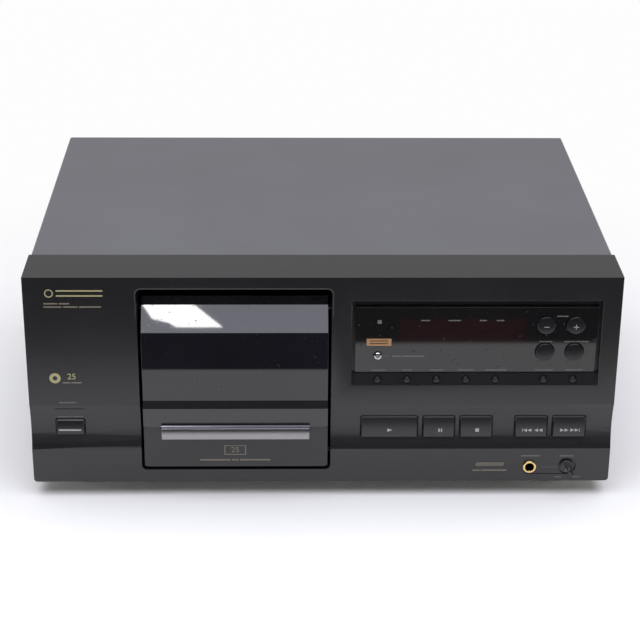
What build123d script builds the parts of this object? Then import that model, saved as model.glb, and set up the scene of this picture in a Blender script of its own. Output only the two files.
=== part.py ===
from build123d import *
import os
from math import cos, pi, radians, sin, sqrt, tan

# A full-width disc changer that files its discs upright in a turning rack.
# Millimetres. X to the right, Y to the back, Z up, origin under the middle of the casing.
# Heights named here are measured up from the casing's lower edge, depths back from the fascia's face.

# Discs and their rack
disc_radius = 60.0
disc_thickness = 1.2
disc_slack = 0.6
disc_lift = 5.0
slot_width = 2.6
slot_count = 25
post_radius = 8.0
post_foot = 24.0
post_foot_height = 1.8
post_collar = 3.0
post_cap = 2.0
hub_wall = 4.0
hub_clearance = 4.0
hub_height = 41.7
hub_shoulder = 2.0
rim_overlap = 2.0
rim_wall = 4.0
rim_ledge = 5.0
rim_height = 36.0
rack_floor = 2.5
cup_inner = 30.0
cup_outer = 28.0
cup_flare = 5.0
cup_wall = 3.0
cup_low = 6.0
cup_high = 20.0

# Room round the rack inside the casing
rack_front_gap = 20.1
rack_rear_gap = 16.1
rack_side_gap = 13.5
play_gap = 6.5
play_wall = 12.0

# Sheet-metal casing behind a moulded fascia
panel_depth = 42.2
panel_wall = 3.0
panel_lip = 12.0
panel_corner = 2.5
cover_step = 1.3
cover_corner = 2.0
sheet = 1.0
sheet_gap = 0.2
flange_height = 12.0
front_flange = 5.0
rear_inset = 1.5
rear_lip = 10.0
foot_height = 12.0
vent_width = 3.0
vent_length = 30.0
vent_pitch = 14.0
vent_row = 42.0
rear_vent_length = 28.0
rear_vent_pitch = 8.0
rear_vent_row = 40.0
rear_vent_inset = 150.0
rear_vent_height = 70.0

# Concave band across the fascia
scoop_low = 26.6
scoop_high = 63.0
scoop_depth = 3.2

# Door opening and its tunnel
door_width = 137.0
door_low = 9.9
door_brow = 10.0
door_corner = 3.5
tunnel_depth = 32.0
tunnel_sill = 14.0
tunnel_wall = 2.4

# Hood
hood_gap = 3.3
pivot_depth = 22.0
pivot_drop = 21.2
pin_radius = 2.5
running_gap = 0.06
arm_thickness = 3.0
arm_boss = 5.0
arm_depth = 9.0
arm_splay = 16.0
pane_thickness = 3.0
pane_reveal = 2.8
facet_rise = 14.7
facet_drop = 32.6
rail_proud = 2.0
rail_low = 45.9
rail_shoulder_drop = 5.4
rail_lap = 6.0
trim_gap = 2.6
trim_seam = 0.9
trim_thickness = 3.0
trim_corner = 1.0
backing_thickness = 2.0
backing_inset = 0.5
grip_width = 105.9
grip_lap = 6.8
grip_height = 9.9
grip_proud = 7.6
grip_wall = 2.2
grip_round = 2.0
grip_end = 2.5
grip_relief = 6.0
grip_web = 0.8

# Display window and key strip
door_to_recess = 14.5
recess_margin = 13.2
recess_rise = 15.0
strip_height = 8.4
window_height = 52.5
window_reveal = 2.4
window_headroom = 5.0
window_chamfer = 0.8
window_gap = 0.1
fascia_brow = 17.8
recess_depth = 5.0
recess_wall = 2.5
window_thickness = 2.0
tube_inset = 29.5
tube_key_gap = 10.9
tube_rise = 21.6
tube_height = 24.0
tube_lip = 1.0
tube_cell = 3.0

# Keys
key_gap = 0.35
key_flange = 1.0
key_flange_thickness = 1.3
key_corner = 1.4
key_bevel = 1.2
key_travel = 1.2
key_stem = 2.0
stem_end = 16.0
board_depth = 20.0
board_thickness = 1.6
board_margin = 8.3
switch_gap = 0.3
switch_size = 6.0
transport_low = 35.5
transport_height = 16.7
transport_face = 1.0
transport_gap = 3.3
transport_group_gap = 16.0
transport_inset = 7.1
transport_outset = 5.8
play_width = 41.6
pause_width = 23.6
stop_width = 23.9
previous_width = 24.0
next_width = 24.4
power_inset = 17.9
power_width = 21.0
power_low = 38.2
power_height = 12.0
round_key_radius = 6.7
round_key_proud = 1.8
round_key_inset = 17.8
round_key_pitch = 21.1
disc_key_rise = 37.7
mode_key_rise = 16.9
small_key_radius = 2.5
small_key_rise = 3.9
small_key_inset = 18.5
small_key_pitch = 21.1
small_key_run = 5
small_key_face = 0.3
title_key_rise = 13.8
title_key_radius = 2.75
title_key_proud = 1.5
pillar_radius = 3.0
small_pillar_radius = 2.5
pillar_inset = 5.2
pillar_drop = 7.9

# Standby lamp
lamp_height = 58.5
lamp_width = 21.2
lamp_thickness = 1.2
lamp_bead = 1.3
lamp_radius = 1.5
lamp_depth = 9.0
lens_face = 0.9
lens_gap = 0.1
lens_flange = 4.0
lens_flange_thickness = 2.0

# Headphone jack and level knob
jack_spacing = 27.3
jack_height = 11.6
jack_bore = 3.25
jack_bush = 4.9
jack_neck = 4.1
jack_proud = 1.0
jack_length = 28.0
jack_body = 12.0
jack_end = 2.0
knob_height = 12.1
knob_radius = 5.0
knob_proud = 9.0
knob_recess = 6.5
knob_recess_depth = 1.5
knob_rest = 0.4
pointer_length = 7.0
pointer_width = 1.8
pointer_angle = -45.0
pot_size = 10.0
pot_depth = 8.0
pot_shaft = 1.5
pot_engage = 6.0
track_height = 12.6
track_depth = 0.5

# Feet and screws
foot_radius = 21.5
foot_inset = 43.0
foot_setback = 40.0
foot_seat = 5.0
pad_thickness = 1.5
pad_inner = 9.0
pad_outer = 18.0
screw_radius = 1.4
screw_head = 3.2
screw_head_height = 1.2
screw_slack = 0.1
foot_screw_radius = 1.9
foot_screw_head = 4.0
foot_screw_thickness = 2.5
rear_screw_inset = 58.7
side_screw_front = 92.1
side_screw_rear = 52.1

# Gear teeth, in modules, and the drive of the rack
addendum = 0.9
dedendum = 1.15
pressure_angle = 20.0
gear_module = 2.5
drive_teeth = 12
gear_width = 4.0
gear_lift = 2.2
gear_reach = 1.0
gear_band = 13.0
backlash = 0.5
mesh_gap = 0.2
drive_angle = -40.0
stud_radius = 2.5
stud_shoulder = 2.0
stud_height = 26.0
drive_pulley = 13.0
motor_pulley_radius = 6.0
pulley_flange = 2.0
motor_flange = 1.0
belt_thickness = 1.6
belt_gap = 0.2
belt_lift = 14.0
motor_radius = 13.0
motor_height = 15.0
motor_reach = 51.5
motor_shaft = 1.5
motor_ear = 7.0
motor_ear_width = 10.0

# Upright playback mechanism
plate_gap = 7.0
plate_thickness = 2.5
plate_left_reach = 58.0
plate_right_reach = 62.0
plate_drop = 7.7
plate_flange = 18.0
plate_window_round = 4.0
table_radius = 12.0
cone_radius = 7.4
cone_tip = 6.0
cone_height = 1.5
table_thickness = 3.0
disc_gap = 0.3
spindle_radius = 1.5
spindle_clearance = 9.0
spindle_can = 11.5
spindle_can_depth = 15.0
sled_start = 23.5
sled_module = 1.0
sled_pitches = 11
sled_half_width = 13.0
sled_half_height = 11.0
sled_bridge = 14.0
lens_radius = 3.2
lens_proud = 1.0
rod_radius = 1.5
rod_offset = 17.0
rod_gap = 3.0
sled_gear_teeth = 20
sled_gear_rise = 26.3
sled_gear_pin = 2.0
sled_gear_width = 4.0
sled_bar_gap = 5.0
sled_bar_width = 3.0
rod_fit = 0.02
spindle_engage = 8.0
puck_neck = 2.0
clamp_reach = 54.0
clamp_setback = 8.0
clamp_pin = 2.0
clamp_hub = 4.0
clamp_span = 38.0
clamp_lug = 4.0
clamp_back = 1.5
clamp_arm_thickness = 2.5
clamp_arm_root = 9.0
clamp_arm_tip = 8.0
puck_radius = 12.0
lever_reach = 8.0
lever_height = 10.0
lever_pin = 2.5
lever_hub = 7.0
lever_inner_gap = 2.5
lever_outer_gap = 9.0
lever_start = 206.0
lever_end = 277.0
lever_thickness = 8.0

# Electrics
main_width = 120.0
main_length = 101.0
main_side_gap = 6.0
main_rear_gap = 6.1
standoff = 6.0
standoff_radius = 3.0
standoff_inset = 5.0
transformer_inset = 40.0
transformer_setback = 74.1
transformer_width = 46.0
transformer_hole = 18.0
transformer_length = 52.0
transformer_core = 26.0
transformer_height = 42.0
transformer_plate = 2.0
transformer_coil = 30.0
transformer_coil_height = 26.0
transformer_coil_lift = 10.0
phono_inset = 82.0
phono_pitch = 18.0
phono_height = 30.0
phono_radius = 4.15
phono_neck = 3.6
phono_step = 0.5
phono_pin_bore = 1.7
phono_proud = 9.0
phono_block = 10.0
phono_block_height = 22.0
capacitor_radius = 6.0
capacitor_height = 22.0
chip_size = 24.0
chip_height = 3.0
fin_spine = 3.0
fin_pitch = 8.0
fin_length = 20.0
fin_thickness = 1.6
fin_height = 26.0
gland_inset = 24.0
gland_height = 20.0
gland_radius = 6.0
gland_bore = 3.6
gland_collar = 2.0
gland_nose = 6.0

# The casing is as wide and deep as the rack, the playing disc and the front controls need
disc_ring = disc_radius + post_radius + hub_wall + hub_clearance
rack_radius = disc_ring + disc_radius - rim_overlap
body_depth = rack_front_gap + 2 * rack_radius + rack_rear_gap
recess_width = (
    transport_inset + play_width + pause_width + stop_width + transport_group_gap
    + previous_width + next_width + 3 * transport_gap + transport_outset
)
left_reach = rack_radius + rack_side_gap
control_reach = door_width / 2 + door_to_recess + recess_width + recess_margin
playing_reach = rack_radius + play_gap + 2 * disc_radius + play_wall
right_reach = max(control_reach, playing_reach)
panel_width = left_reach + right_reach
panel_left = -panel_width / 2
panel_right = panel_width / 2
cover_width = panel_width - 2 * cover_step

# Fascia heights, from the scoop up
recess_low = scoop_high + recess_rise
recess_ledge = recess_low + strip_height
window_high = recess_ledge + window_height
recess_high = window_high + window_headroom
panel_height = recess_high + fascia_brow
door_high = panel_height - door_brow
pivot_height = door_high - pivot_drop
pane_low = scoop_high + pane_reveal
pane_bend = door_high - facet_drop
rail_shoulder = pane_low - rail_shoulder_drop
trim_low = door_low + trim_gap
trim_high = rail_low - trim_seam
grip_low = trim_high - grip_lap
grip_high = grip_low + grip_height
disc_key_height = recess_ledge + disc_key_rise
mode_key_height = recess_ledge + mode_key_rise
title_key_height = recess_ledge + title_key_rise
small_key_height = recess_low + small_key_rise
tube_low = recess_ledge + tube_rise
tube_high = tube_low + tube_height
transport_high = transport_low + transport_height
power_high = power_low + power_height

# Places along the fascia
rack_x = panel_left + left_reach
door_x = rack_x
door_left = door_x - door_width / 2
hood_width = door_width - 2 * hood_gap
hood_left = door_x - hood_width / 2
recess_right = panel_right - recess_margin
recess_left = recess_right - recess_width
recess_x = (recess_left + recess_right) / 2
window_left = recess_left + window_reveal
window_right = recess_right - window_reveal
play_left = recess_left + transport_inset
play_right = play_left + play_width
pause_left = play_right + transport_gap
pause_right = pause_left + pause_width
stop_left = pause_right + transport_gap
stop_right = stop_left + stop_width
next_right = recess_right - transport_outset
next_left = next_right - next_width
previous_right = next_left - transport_gap
previous_left = previous_right - previous_width
power_left = panel_left + power_inset
power_right = power_left + power_width
round_key_columns = (recess_right - round_key_inset - round_key_pitch, recess_right - round_key_inset)
small_key_columns = [recess_left + small_key_inset + index * small_key_pitch for index in range(small_key_run)]
small_key_columns += round_key_columns
title_key_x = small_key_columns[0]
tube_left = recess_left + tube_inset
tube_right = round_key_columns[0] - tube_key_gap
lamp_x = (power_left + power_right) / 2
knob_x = round_key_columns[1]
jack_x = knob_x - jack_spacing

# Depths and heights inside
front_y = -body_depth / 2
rear_y = body_depth / 2
seam_y = front_y + panel_depth
base_z = foot_height
top_z = base_z + panel_height
pan_top = base_z + sheet
pan_half = cover_width / 2 - sheet - sheet_gap
rear_face = rear_y - rear_inset
rack_y = front_y + rack_front_gap + rack_radius
gear_low = pan_top + gear_lift
rack_low = gear_low + gear_width
disc_low = rack_low + rack_floor + disc_lift
disc_z = disc_low + disc_radius
play_x = rack_x + rack_radius + play_gap + disc_radius
play_z = disc_z
ring_teeth = round(2 * (rack_radius + gear_reach) / gear_module)
ring_pitch = gear_module * ring_teeth / 2
drive_pitch = gear_module * drive_teeth / 2
drive_reach = ring_pitch + drive_pitch + mesh_gap
drive_x = rack_x + drive_reach * cos(radians(drive_angle))
drive_y = rack_y + drive_reach * sin(radians(drive_angle))
motor_x = drive_x + motor_reach
motor_y = drive_y
plate_front = rack_y + plate_gap
plate_back = plate_front + plate_thickness
plate_left = play_x - plate_left_reach
plate_right = play_x + plate_right_reach
plate_high = panel_height - plate_drop
clamp_x = play_x + clamp_reach
lever_x = play_x + lever_reach
main_right = panel_right - main_side_gap
main_left = main_right - main_width
main_back = rear_y - main_rear_gap
main_front = main_back - main_length
main_middle = ((main_left + main_right) / 2, (main_front + main_back) / 2)
transformer_x = panel_right - transformer_inset
transformer_y = front_y + transformer_setback
phono_x = panel_right - phono_inset
gland_x = panel_right - gland_inset
foot_x = panel_right - foot_inset
# lightening windows of the plate, as distances from the spindle: left, right, low, high
plate_windows = ((-52, -24, -38.7, -8.7), (-52, -24, 9.3, 65.3), (-16, 16, -54.7, -24.7), (22, 46, -50.7, 9.3))
foot_places = [(x, y) for x in (-foot_x, foot_x) for y in (front_y + foot_setback, rear_y - foot_setback)]


def up(height):
    """Z of a height above the casing's lower edge."""
    return base_z + height


def behind(depth):
    """Y of a depth behind the fascia's face."""
    return front_y + depth


def facing(depth):
    """Plane parallel to the fascia at a depth behind its face, looking out of the front."""
    return Plane.XZ.offset(-behind(depth))


def upright(y):
    """Plane parallel to the fascia at a given Y, looking out of the front."""
    return Plane.XZ.offset(-y)


def save(piece, name):
    """Label a finished piece and write it to its own file."""
    piece.part.label = name
    export_step(piece.part, f"parts/{name}.step")


def fascia_side(shift, low, high, back):
    """Closed side outline of the fascia, its face moved back by shift."""
    face = front_y + shift
    middle = (face + scoop_depth, up((scoop_low + scoop_high) / 2))
    Polyline(
        (face, up(scoop_high)), (face, high), (back, high), (back, low), (face, low), (face, up(scoop_low))
    )
    ThreePointArc((face, up(scoop_low)), middle, (face, up(scoop_high)))


def gear_outline(teeth, module, phase):
    """Corners of a spur gear with straight flanks and one tooth centred on phase degrees."""
    pitch = module * teeth / 2
    root = pitch - dedendum * module
    tip = pitch + addendum * module
    half = (pi * module / 2 - backlash * min(1, module / 2)) / 2
    lean = tan(radians(pressure_angle))
    corners = []
    for index in range(teeth):
        centre = radians(phase) + 2 * pi * index / teeth
        for radius, side in ((root, -1), (tip, -1), (tip, 1), (root, 1)):
            width = half + (pitch - radius) * lean
            angle = centre + side * width / radius
            corners.append((radius * cos(angle), radius * sin(angle)))
    return corners


rear_screw_x = cover_width / 2 - rear_screw_inset
rear_screw_places = [(x, top_z - sheet - rear_lip / 2) for x in (-rear_screw_x, 0, rear_screw_x)]
side_screw_height = up((flange_height + sheet) / 2)
side_screw_places = [
    (front_y + side_screw_front, side_screw_height),
    (rear_y - side_screw_rear, side_screw_height),
]

# ---------------------------------------------------------------- casing

with BuildPart() as top_cover:
    with BuildSketch(upright(seam_y)) as cover_section:
        with Locations((0, (base_z + top_z) / 2)):
            Rectangle(cover_width, panel_height)
        fillet(cover_section.vertices().group_by(Axis.Z)[-1], cover_corner)
    extrude(amount=-(body_depth - panel_depth))
    with BuildSketch(upright(seam_y)) as cover_hollow:
        with Locations((0, (base_z + top_z) / 2 - sheet)):
            Rectangle(cover_width - 2 * sheet, panel_height)
        fillet(cover_hollow.vertices().group_by(Axis.Z)[-1], cover_corner - sheet / 2)
    extrude(amount=-(body_depth - panel_depth), mode=Mode.SUBTRACT)
    with BuildSketch(upright(rear_face)):
        with Locations((0, top_z - sheet - rear_lip / 2)):
            Rectangle(cover_width - 2 * sheet, rear_lip)
    extrude(amount=-sheet)
    with BuildSketch(upright(rear_face)):
        with Locations(*rear_screw_places):
            Circle(screw_radius + screw_slack)
    extrude(amount=-sheet, mode=Mode.SUBTRACT)
    with BuildSketch(Plane.YZ.offset(-cover_width / 2)):
        with Locations(*side_screw_places):
            Circle(screw_radius + screw_slack)
    extrude(amount=cover_width, mode=Mode.SUBTRACT)
save(top_cover, "top_cover")

with BuildPart() as chassis_pan:
    pan_front = behind(panel_lip) + 0.5
    pan_back = rear_face - sheet
    pan_middle = (pan_front + pan_back) / 2
    with BuildSketch(Plane.XY.offset(base_z)):
        with Locations((0, pan_middle)):
            Rectangle(2 * pan_half, pan_back - pan_front)
    extrude(amount=flange_height)
    with BuildSketch(Plane.XY.offset(pan_top)):
        with Locations((0, pan_middle)):
            Rectangle(2 * pan_half - 2 * sheet, pan_back - pan_front - 2 * sheet)
    extrude(amount=flange_height, mode=Mode.SUBTRACT)
    # inside the fascia the pan is narrower and its edge is low
    with BuildSketch(Plane.XY.offset(base_z + flange_height)):
        with Locations((0, (pan_front + seam_y) / 2)):
            Rectangle(2 * pan_half, seam_y - pan_front)
    extrude(amount=-(flange_height - front_flange), mode=Mode.SUBTRACT)
    with BuildSketch(Plane.XY.offset(base_z)):
        for side in (-1, 1):
            with Locations((side * (panel_width / 2 - panel_wall), (pan_front + seam_y) / 2 + 0.1)):
                Rectangle(2 * (sheet_gap + sheet), seam_y - pan_front + 0.2)
    extrude(amount=flange_height, mode=Mode.SUBTRACT)
    # stamped ventilation slots under the boards
    with BuildSketch(Plane.XY.offset(base_z)):
        with Locations(main_middle):
            with GridLocations(vent_pitch, vent_row, 7, 2):
                SlotOverall(vent_length, vent_width, rotation=90)
    extrude(amount=sheet, mode=Mode.SUBTRACT)
    # board standoffs and the stud of the drive gear
    with BuildSketch(Plane.XY.offset(pan_top)):
        with Locations(main_middle):
            with GridLocations(main_width - 2 * standoff_inset, main_length - 2 * standoff_inset, 2, 2):
                Circle(standoff_radius)
    extrude(amount=standoff)
    with BuildSketch(Plane.XY.offset(pan_top)):
        with Locations((drive_x, drive_y)):
            Circle(stud_radius + stud_shoulder)
    extrude(amount=gear_lift - sheet_gap)
    with BuildSketch(Plane.XY.offset(pan_top)):
        with Locations((drive_x, drive_y)):
            Circle(stud_radius)
    extrude(amount=stud_height)
    with BuildSketch(Plane.XY.offset(base_z)):
        with Locations(*foot_places):
            Circle(foot_screw_radius + screw_slack)
    extrude(amount=sheet, mode=Mode.SUBTRACT)
    with BuildSketch(Plane.YZ.offset(-pan_half)):
        with Locations(*side_screw_places):
            Circle(screw_radius + screw_slack / 2)
    extrude(amount=2 * pan_half, mode=Mode.SUBTRACT)
save(chassis_pan, "chassis_pan")

with BuildPart() as rear_panel:
    with BuildSketch(upright(rear_face - sheet)):
        with Locations((0, (base_z + top_z - sheet) / 2)):
            Rectangle(2 * pan_half, top_z - sheet - base_z - 0.4)
        with Locations((phono_x, up(phono_height)), (phono_x + phono_pitch, up(phono_height))):
            Circle(phono_radius + 0.3, mode=Mode.SUBTRACT)
        with Locations((gland_x, up(gland_height))):
            Circle(gland_radius + screw_slack, mode=Mode.SUBTRACT)
        with Locations(*rear_screw_places):
            Circle(screw_radius + screw_slack / 2, mode=Mode.SUBTRACT)
        with Locations((panel_right - rear_vent_inset, up(rear_vent_height))):
            with GridLocations(rear_vent_pitch, rear_vent_row, 9, 2):
                SlotOverall(rear_vent_length, vent_width, rotation=90, mode=Mode.SUBTRACT)
    extrude(amount=-sheet)
save(rear_panel, "rear_panel")

with BuildPart() as front_panel:
    with BuildSketch(Plane.YZ.offset(-panel_width / 2)):
        with BuildLine():
            fascia_side(0, base_z, top_z, seam_y)
        make_face()
    extrude(amount=panel_width)
    lower_ends = front_panel.edges().filter_by(Axis.Y).group_by(Axis.Z)[0]
    fillet(lower_ends, panel_corner)
    with BuildSketch(Plane.YZ.offset(-panel_width / 2 + panel_wall)):
        with BuildLine():
            fascia_side(panel_wall, base_z + panel_wall, top_z - panel_wall, seam_y + 1)
        make_face()
    extrude(amount=panel_width - 2 * panel_wall, mode=Mode.SUBTRACT)
    # the floor is only a lip: the pan's front edge comes in behind it
    with BuildSketch(Plane.XY.offset(base_z - 1)):
        with Locations((0, (behind(panel_lip) + seam_y + 1) / 2)):
            Rectangle(panel_width - 2 * panel_wall, panel_depth - panel_lip + 1)
    extrude(amount=panel_wall + 2, mode=Mode.SUBTRACT)
    # door tunnel: sides and ceiling run back past the hood's pivot, the sill is short
    with BuildSketch(facing(tunnel_depth)):
        with Locations((door_x, up((door_low + door_high) / 2))):
            Rectangle(door_width + 2 * tunnel_wall, door_high - door_low + 2 * tunnel_wall)
            Rectangle(door_width, door_high - door_low, mode=Mode.SUBTRACT)
        with Locations((door_x, up(door_low))):
            Rectangle(door_width + 2 * tunnel_wall, 2 * tunnel_wall + 1, mode=Mode.SUBTRACT)
    extrude(amount=tunnel_depth - panel_wall)
    with BuildSketch(facing(tunnel_sill)):
        with Locations((door_x, up(door_low) - tunnel_wall / 2)):
            Rectangle(door_width + 2 * tunnel_wall, tunnel_wall)
    extrude(amount=tunnel_sill - panel_wall)
    for side in (-1, 1):
        wall = Plane.YZ.offset(door_x + side * (door_width / 2 + tunnel_wall))
        with BuildSketch(wall):
            with Locations((behind(pivot_depth), up(pivot_height))):
                Circle(arm_boss + 1)
        extrude(amount=side * tunnel_wall)
    with BuildSketch(facing(panel_wall + scoop_depth + 1)):
        with Locations((door_x, up((door_low + door_high) / 2))):
            RectangleRounded(door_width, door_high - door_low, door_corner)
    extrude(amount=panel_wall + scoop_depth + 2, mode=Mode.SUBTRACT)
    with BuildSketch(Plane.YZ.offset(door_left - 2 * tunnel_wall - 1)):
        with Locations((behind(pivot_depth), up(pivot_height))):
            Circle(pin_radius + running_gap)
    extrude(amount=door_width + 4 * tunnel_wall + 2, mode=Mode.SUBTRACT)
    # display recess in its own thicker patch
    with BuildSketch(facing(recess_depth + recess_wall)):
        with Locations((recess_x, up((recess_low + recess_high) / 2))):
            Rectangle(recess_width + 2 * recess_wall, recess_high - recess_low + 2 * recess_wall)
    extrude(amount=recess_depth + recess_wall - panel_wall)
    with BuildSketch(Plane.YZ.offset(recess_left)):
        with BuildLine():
            Polyline(
                (behind(0), up(recess_low)),
                (behind(recess_depth - window_thickness), up(recess_ledge)),
                (behind(recess_depth), up(recess_ledge)),
                (behind(recess_depth), up(recess_high)),
                (behind(-1), up(recess_high)),
                (behind(-1), up(recess_low)),
                close=True,
            )
        make_face()
    extrude(amount=recess_right - recess_left, mode=Mode.SUBTRACT)
    # holes for the tube's view and for every key of the display block
    with BuildSketch(facing(recess_depth + recess_wall + 1)):
        with Locations(((tube_left + tube_right) / 2, up((tube_low + tube_high) / 2))):
            Rectangle(tube_right - tube_left - 2 * tube_lip, tube_height - 2 * tube_lip)
        for x in round_key_columns:
            with Locations((x, up(disc_key_height)), (x, up(mode_key_height))):
                Circle(round_key_radius + key_gap)
        with Locations(*[(x, up(small_key_height)) for x in small_key_columns]):
            Circle(small_key_radius + key_gap)
        with Locations((title_key_x, up(title_key_height))):
            Circle(title_key_radius + key_gap)
    extrude(amount=recess_depth + recess_wall + 2, mode=Mode.SUBTRACT)
    # holes for the wide keys, the power key and the lamp
    with BuildSketch(facing(panel_wall + scoop_depth + 1)):
        for left, right, low, high in (
            (play_left, play_right, transport_low, transport_high),
            (pause_left, pause_right, transport_low, transport_high),
            (stop_left, stop_right, transport_low, transport_high),
            (previous_left, previous_right, transport_low, transport_high),
            (next_left, next_right, transport_low, transport_high),
            (power_left, power_right, power_low, power_high),
        ):
            with Locations(((left + right) / 2, up((low + high) / 2))):
                RectangleRounded(right - left + 2 * key_gap, high - low + 2 * key_gap, key_corner + key_gap)
        with Locations((lamp_x, up(lamp_height))):
            Rectangle(lamp_width, lamp_thickness)
            Circle(lamp_bead)
    extrude(amount=panel_wall + scoop_depth + 2, mode=Mode.SUBTRACT)
    # jack and knob share a shallow track
    with BuildSketch(facing(track_depth)):
        with Locations(((jack_x + knob_x) / 2, up((jack_height + knob_height) / 2))):
            SlotCenterToCenter(knob_x - jack_x, track_height)
    extrude(amount=track_depth + 1, mode=Mode.SUBTRACT)
    with BuildSketch(facing(knob_recess_depth)):
        with Locations((knob_x, up(knob_height))):
            Circle(knob_recess)
    extrude(amount=knob_recess_depth + 1, mode=Mode.SUBTRACT)
    with BuildSketch(facing(panel_wall + 1)):
        with Locations((jack_x, up(jack_height))):
            Circle(jack_neck + 0.1)
        with Locations((knob_x, up(knob_height))):
            Circle(pot_shaft + 1)
    extrude(amount=panel_wall + 2, mode=Mode.SUBTRACT)
    # pillars that carry the boards
    board_pillars = [
        (recess_left + pillar_inset + 2, up(recess_high - pillar_drop)),
        (recess_right - 1, up(recess_high - pillar_drop)),
        (small_key_columns[1] + small_key_pitch / 2, up(recess_ledge + pillar_drop)),
        (small_key_columns[4] + small_key_pitch / 2 + pillar_inset, up(recess_ledge + pillar_drop)),
    ]
    transport_middle = up((transport_low + transport_high) / 2)
    power_middle = up((power_low + power_high) / 2)
    key_board_pillars = [
        (play_left - pillar_inset, transport_middle),
        ((stop_right + previous_left) / 2, transport_middle),
        (next_right + pillar_inset, transport_middle),
        (power_left - pillar_inset, power_middle),
        (power_right + pillar_inset, power_middle),
    ]
    with BuildSketch(facing(board_depth)):
        with Locations(*board_pillars):
            Circle(pillar_radius)
    extrude(amount=board_depth - recess_depth - recess_wall)
    with BuildSketch(facing(board_depth)):
        with Locations(*key_board_pillars):
            Circle(small_pillar_radius)
    extrude(amount=board_depth - panel_wall - scoop_depth + 1)
save(front_panel, "front_panel")

with BuildPart() as feet:
    for x, y in foot_places:
        with BuildSketch(Plane(origin=(x, y, 0), x_dir=(1, 0, 0), z_dir=(0, -1, 0))):
            with BuildLine():
                Polyline(
                    (foot_screw_radius + screw_slack, foot_height),
                    (foot_screw_radius + screw_slack, pad_thickness + foot_seat),
                    (foot_screw_head + 1, pad_thickness + foot_seat),
                    (foot_screw_head + 1, pad_thickness),
                    (foot_radius - 2, pad_thickness),
                    (foot_radius, pad_thickness + 3),
                    (foot_radius, foot_height - 2.5),
                    (foot_radius - 1.5, foot_height),
                    close=True,
                )
            make_face()
        revolve(axis=Axis((x, y, 0), (0, 0, 1)))
save(feet, "feet")

with BuildPart() as foot_pads:
    with BuildSketch():
        with Locations(*foot_places):
            Circle(pad_outer)
            Circle(pad_inner, mode=Mode.SUBTRACT)
    extrude(amount=pad_thickness)
save(foot_pads, "foot_pads")

with BuildPart() as foot_screws:
    with BuildSketch(Plane.XY.offset(pad_thickness + foot_seat - foot_screw_thickness)):
        with Locations(*foot_places):
            Circle(foot_screw_head)
    extrude(amount=foot_screw_thickness)
    with BuildSketch(Plane.XY.offset(pad_thickness + foot_seat)):
        with Locations(*foot_places):
            Circle(foot_screw_radius)
    extrude(amount=foot_height - pad_thickness - foot_seat + 4 * sheet)
save(foot_screws, "foot_screws")

with BuildPart() as cabinet_screws:
    with BuildSketch(upright(rear_face + sheet)):
        with Locations(*rear_screw_places):
            Circle(screw_head)
    extrude(amount=-screw_head_height)
    with BuildSketch(upright(rear_face + sheet)):
        with Locations(*rear_screw_places):
            Circle(screw_radius)
    extrude(amount=4 * sheet)
    for side in (-1, 1):
        with BuildSketch(Plane.YZ.offset(side * cover_width / 2)):
            with Locations(*side_screw_places):
                Circle(screw_head)
        extrude(amount=side * screw_head_height)
        with BuildSketch(Plane.YZ.offset(side * cover_width / 2)):
            with Locations(*side_screw_places):
                Circle(screw_radius)
        extrude(amount=-side * 4 * sheet)
save(cabinet_screws, "cabinet_screws")

# ---------------------------------------------------------------- hood

with BuildPart() as hood_window:
    inset = pane_thickness * tan(radians(22.5))
    step = pane_thickness / sqrt(2)
    with BuildSketch(Plane.YZ.offset(hood_left)):
        with BuildLine():
            Polyline(
                (behind(0), up(pane_low)),
                (behind(0), up(pane_bend)),
                (behind(facet_rise), up(pane_bend + facet_rise)),
                (behind(facet_rise + step), up(pane_bend + facet_rise - step)),
                (behind(pane_thickness), up(pane_bend - inset)),
                (behind(pane_thickness), up(pane_low)),
                close=True,
            )
        make_face()
    extrude(amount=hood_width)
save(hood_window, "hood_window")

with BuildPart() as hood_panel:
    with BuildSketch(facing(0)):
        with Locations((door_x, up((trim_low + trim_high) / 2))):
            RectangleRounded(hood_width, trim_high - trim_low, trim_corner)
    extrude(amount=-trim_thickness)
    # finger relief behind the bar
    with BuildSketch(Plane.YZ.offset(door_x - grip_width / 2)):
        with BuildLine():
            Polyline(
                (behind(0), up(trim_high - grip_relief)),
                (behind(trim_thickness - grip_web), up(trim_high - grip_relief / 2)),
                (behind(trim_thickness - grip_web), up(trim_high + 1)),
                (behind(0), up(trim_high + 1)),
                close=True,
            )
        make_face()
    extrude(amount=grip_width, mode=Mode.SUBTRACT)
save(hood_panel, "hood_panel")

with BuildPart() as hood_handle:
    with BuildSketch(Plane.YZ.offset(door_x - grip_width / 2)) as grip_profile:
        with BuildLine():
            Polyline(
                (behind(-rail_proud), up(grip_high)),
                (behind(-grip_proud), up(grip_high)),
                (behind(-grip_proud), up(grip_low)),
                (behind(-grip_proud + grip_wall), up(grip_low)),
                (behind(-grip_proud + grip_wall), up(grip_high - grip_wall)),
                (behind(-rail_proud), up(grip_high - grip_wall)),
                close=True,
            )
        make_face()
        front_corner = grip_profile.vertices().group_by(Axis.Y)[0].sort_by(Axis.Z)[-1]
        fillet(front_corner, grip_round)
    extrude(amount=grip_width)
    for side in (0, 1):
        with BuildSketch(Plane.YZ.offset(door_x - grip_width / 2 + side * (grip_width - grip_end))):
            with Locations((behind(-(grip_proud + rail_proud) / 2), up((grip_low + grip_high) / 2))):
                Rectangle(grip_proud - rail_proud - 0.4, grip_high - grip_low - 0.8)
        extrude(amount=grip_end)
save(hood_handle, "hood_handle")

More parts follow.
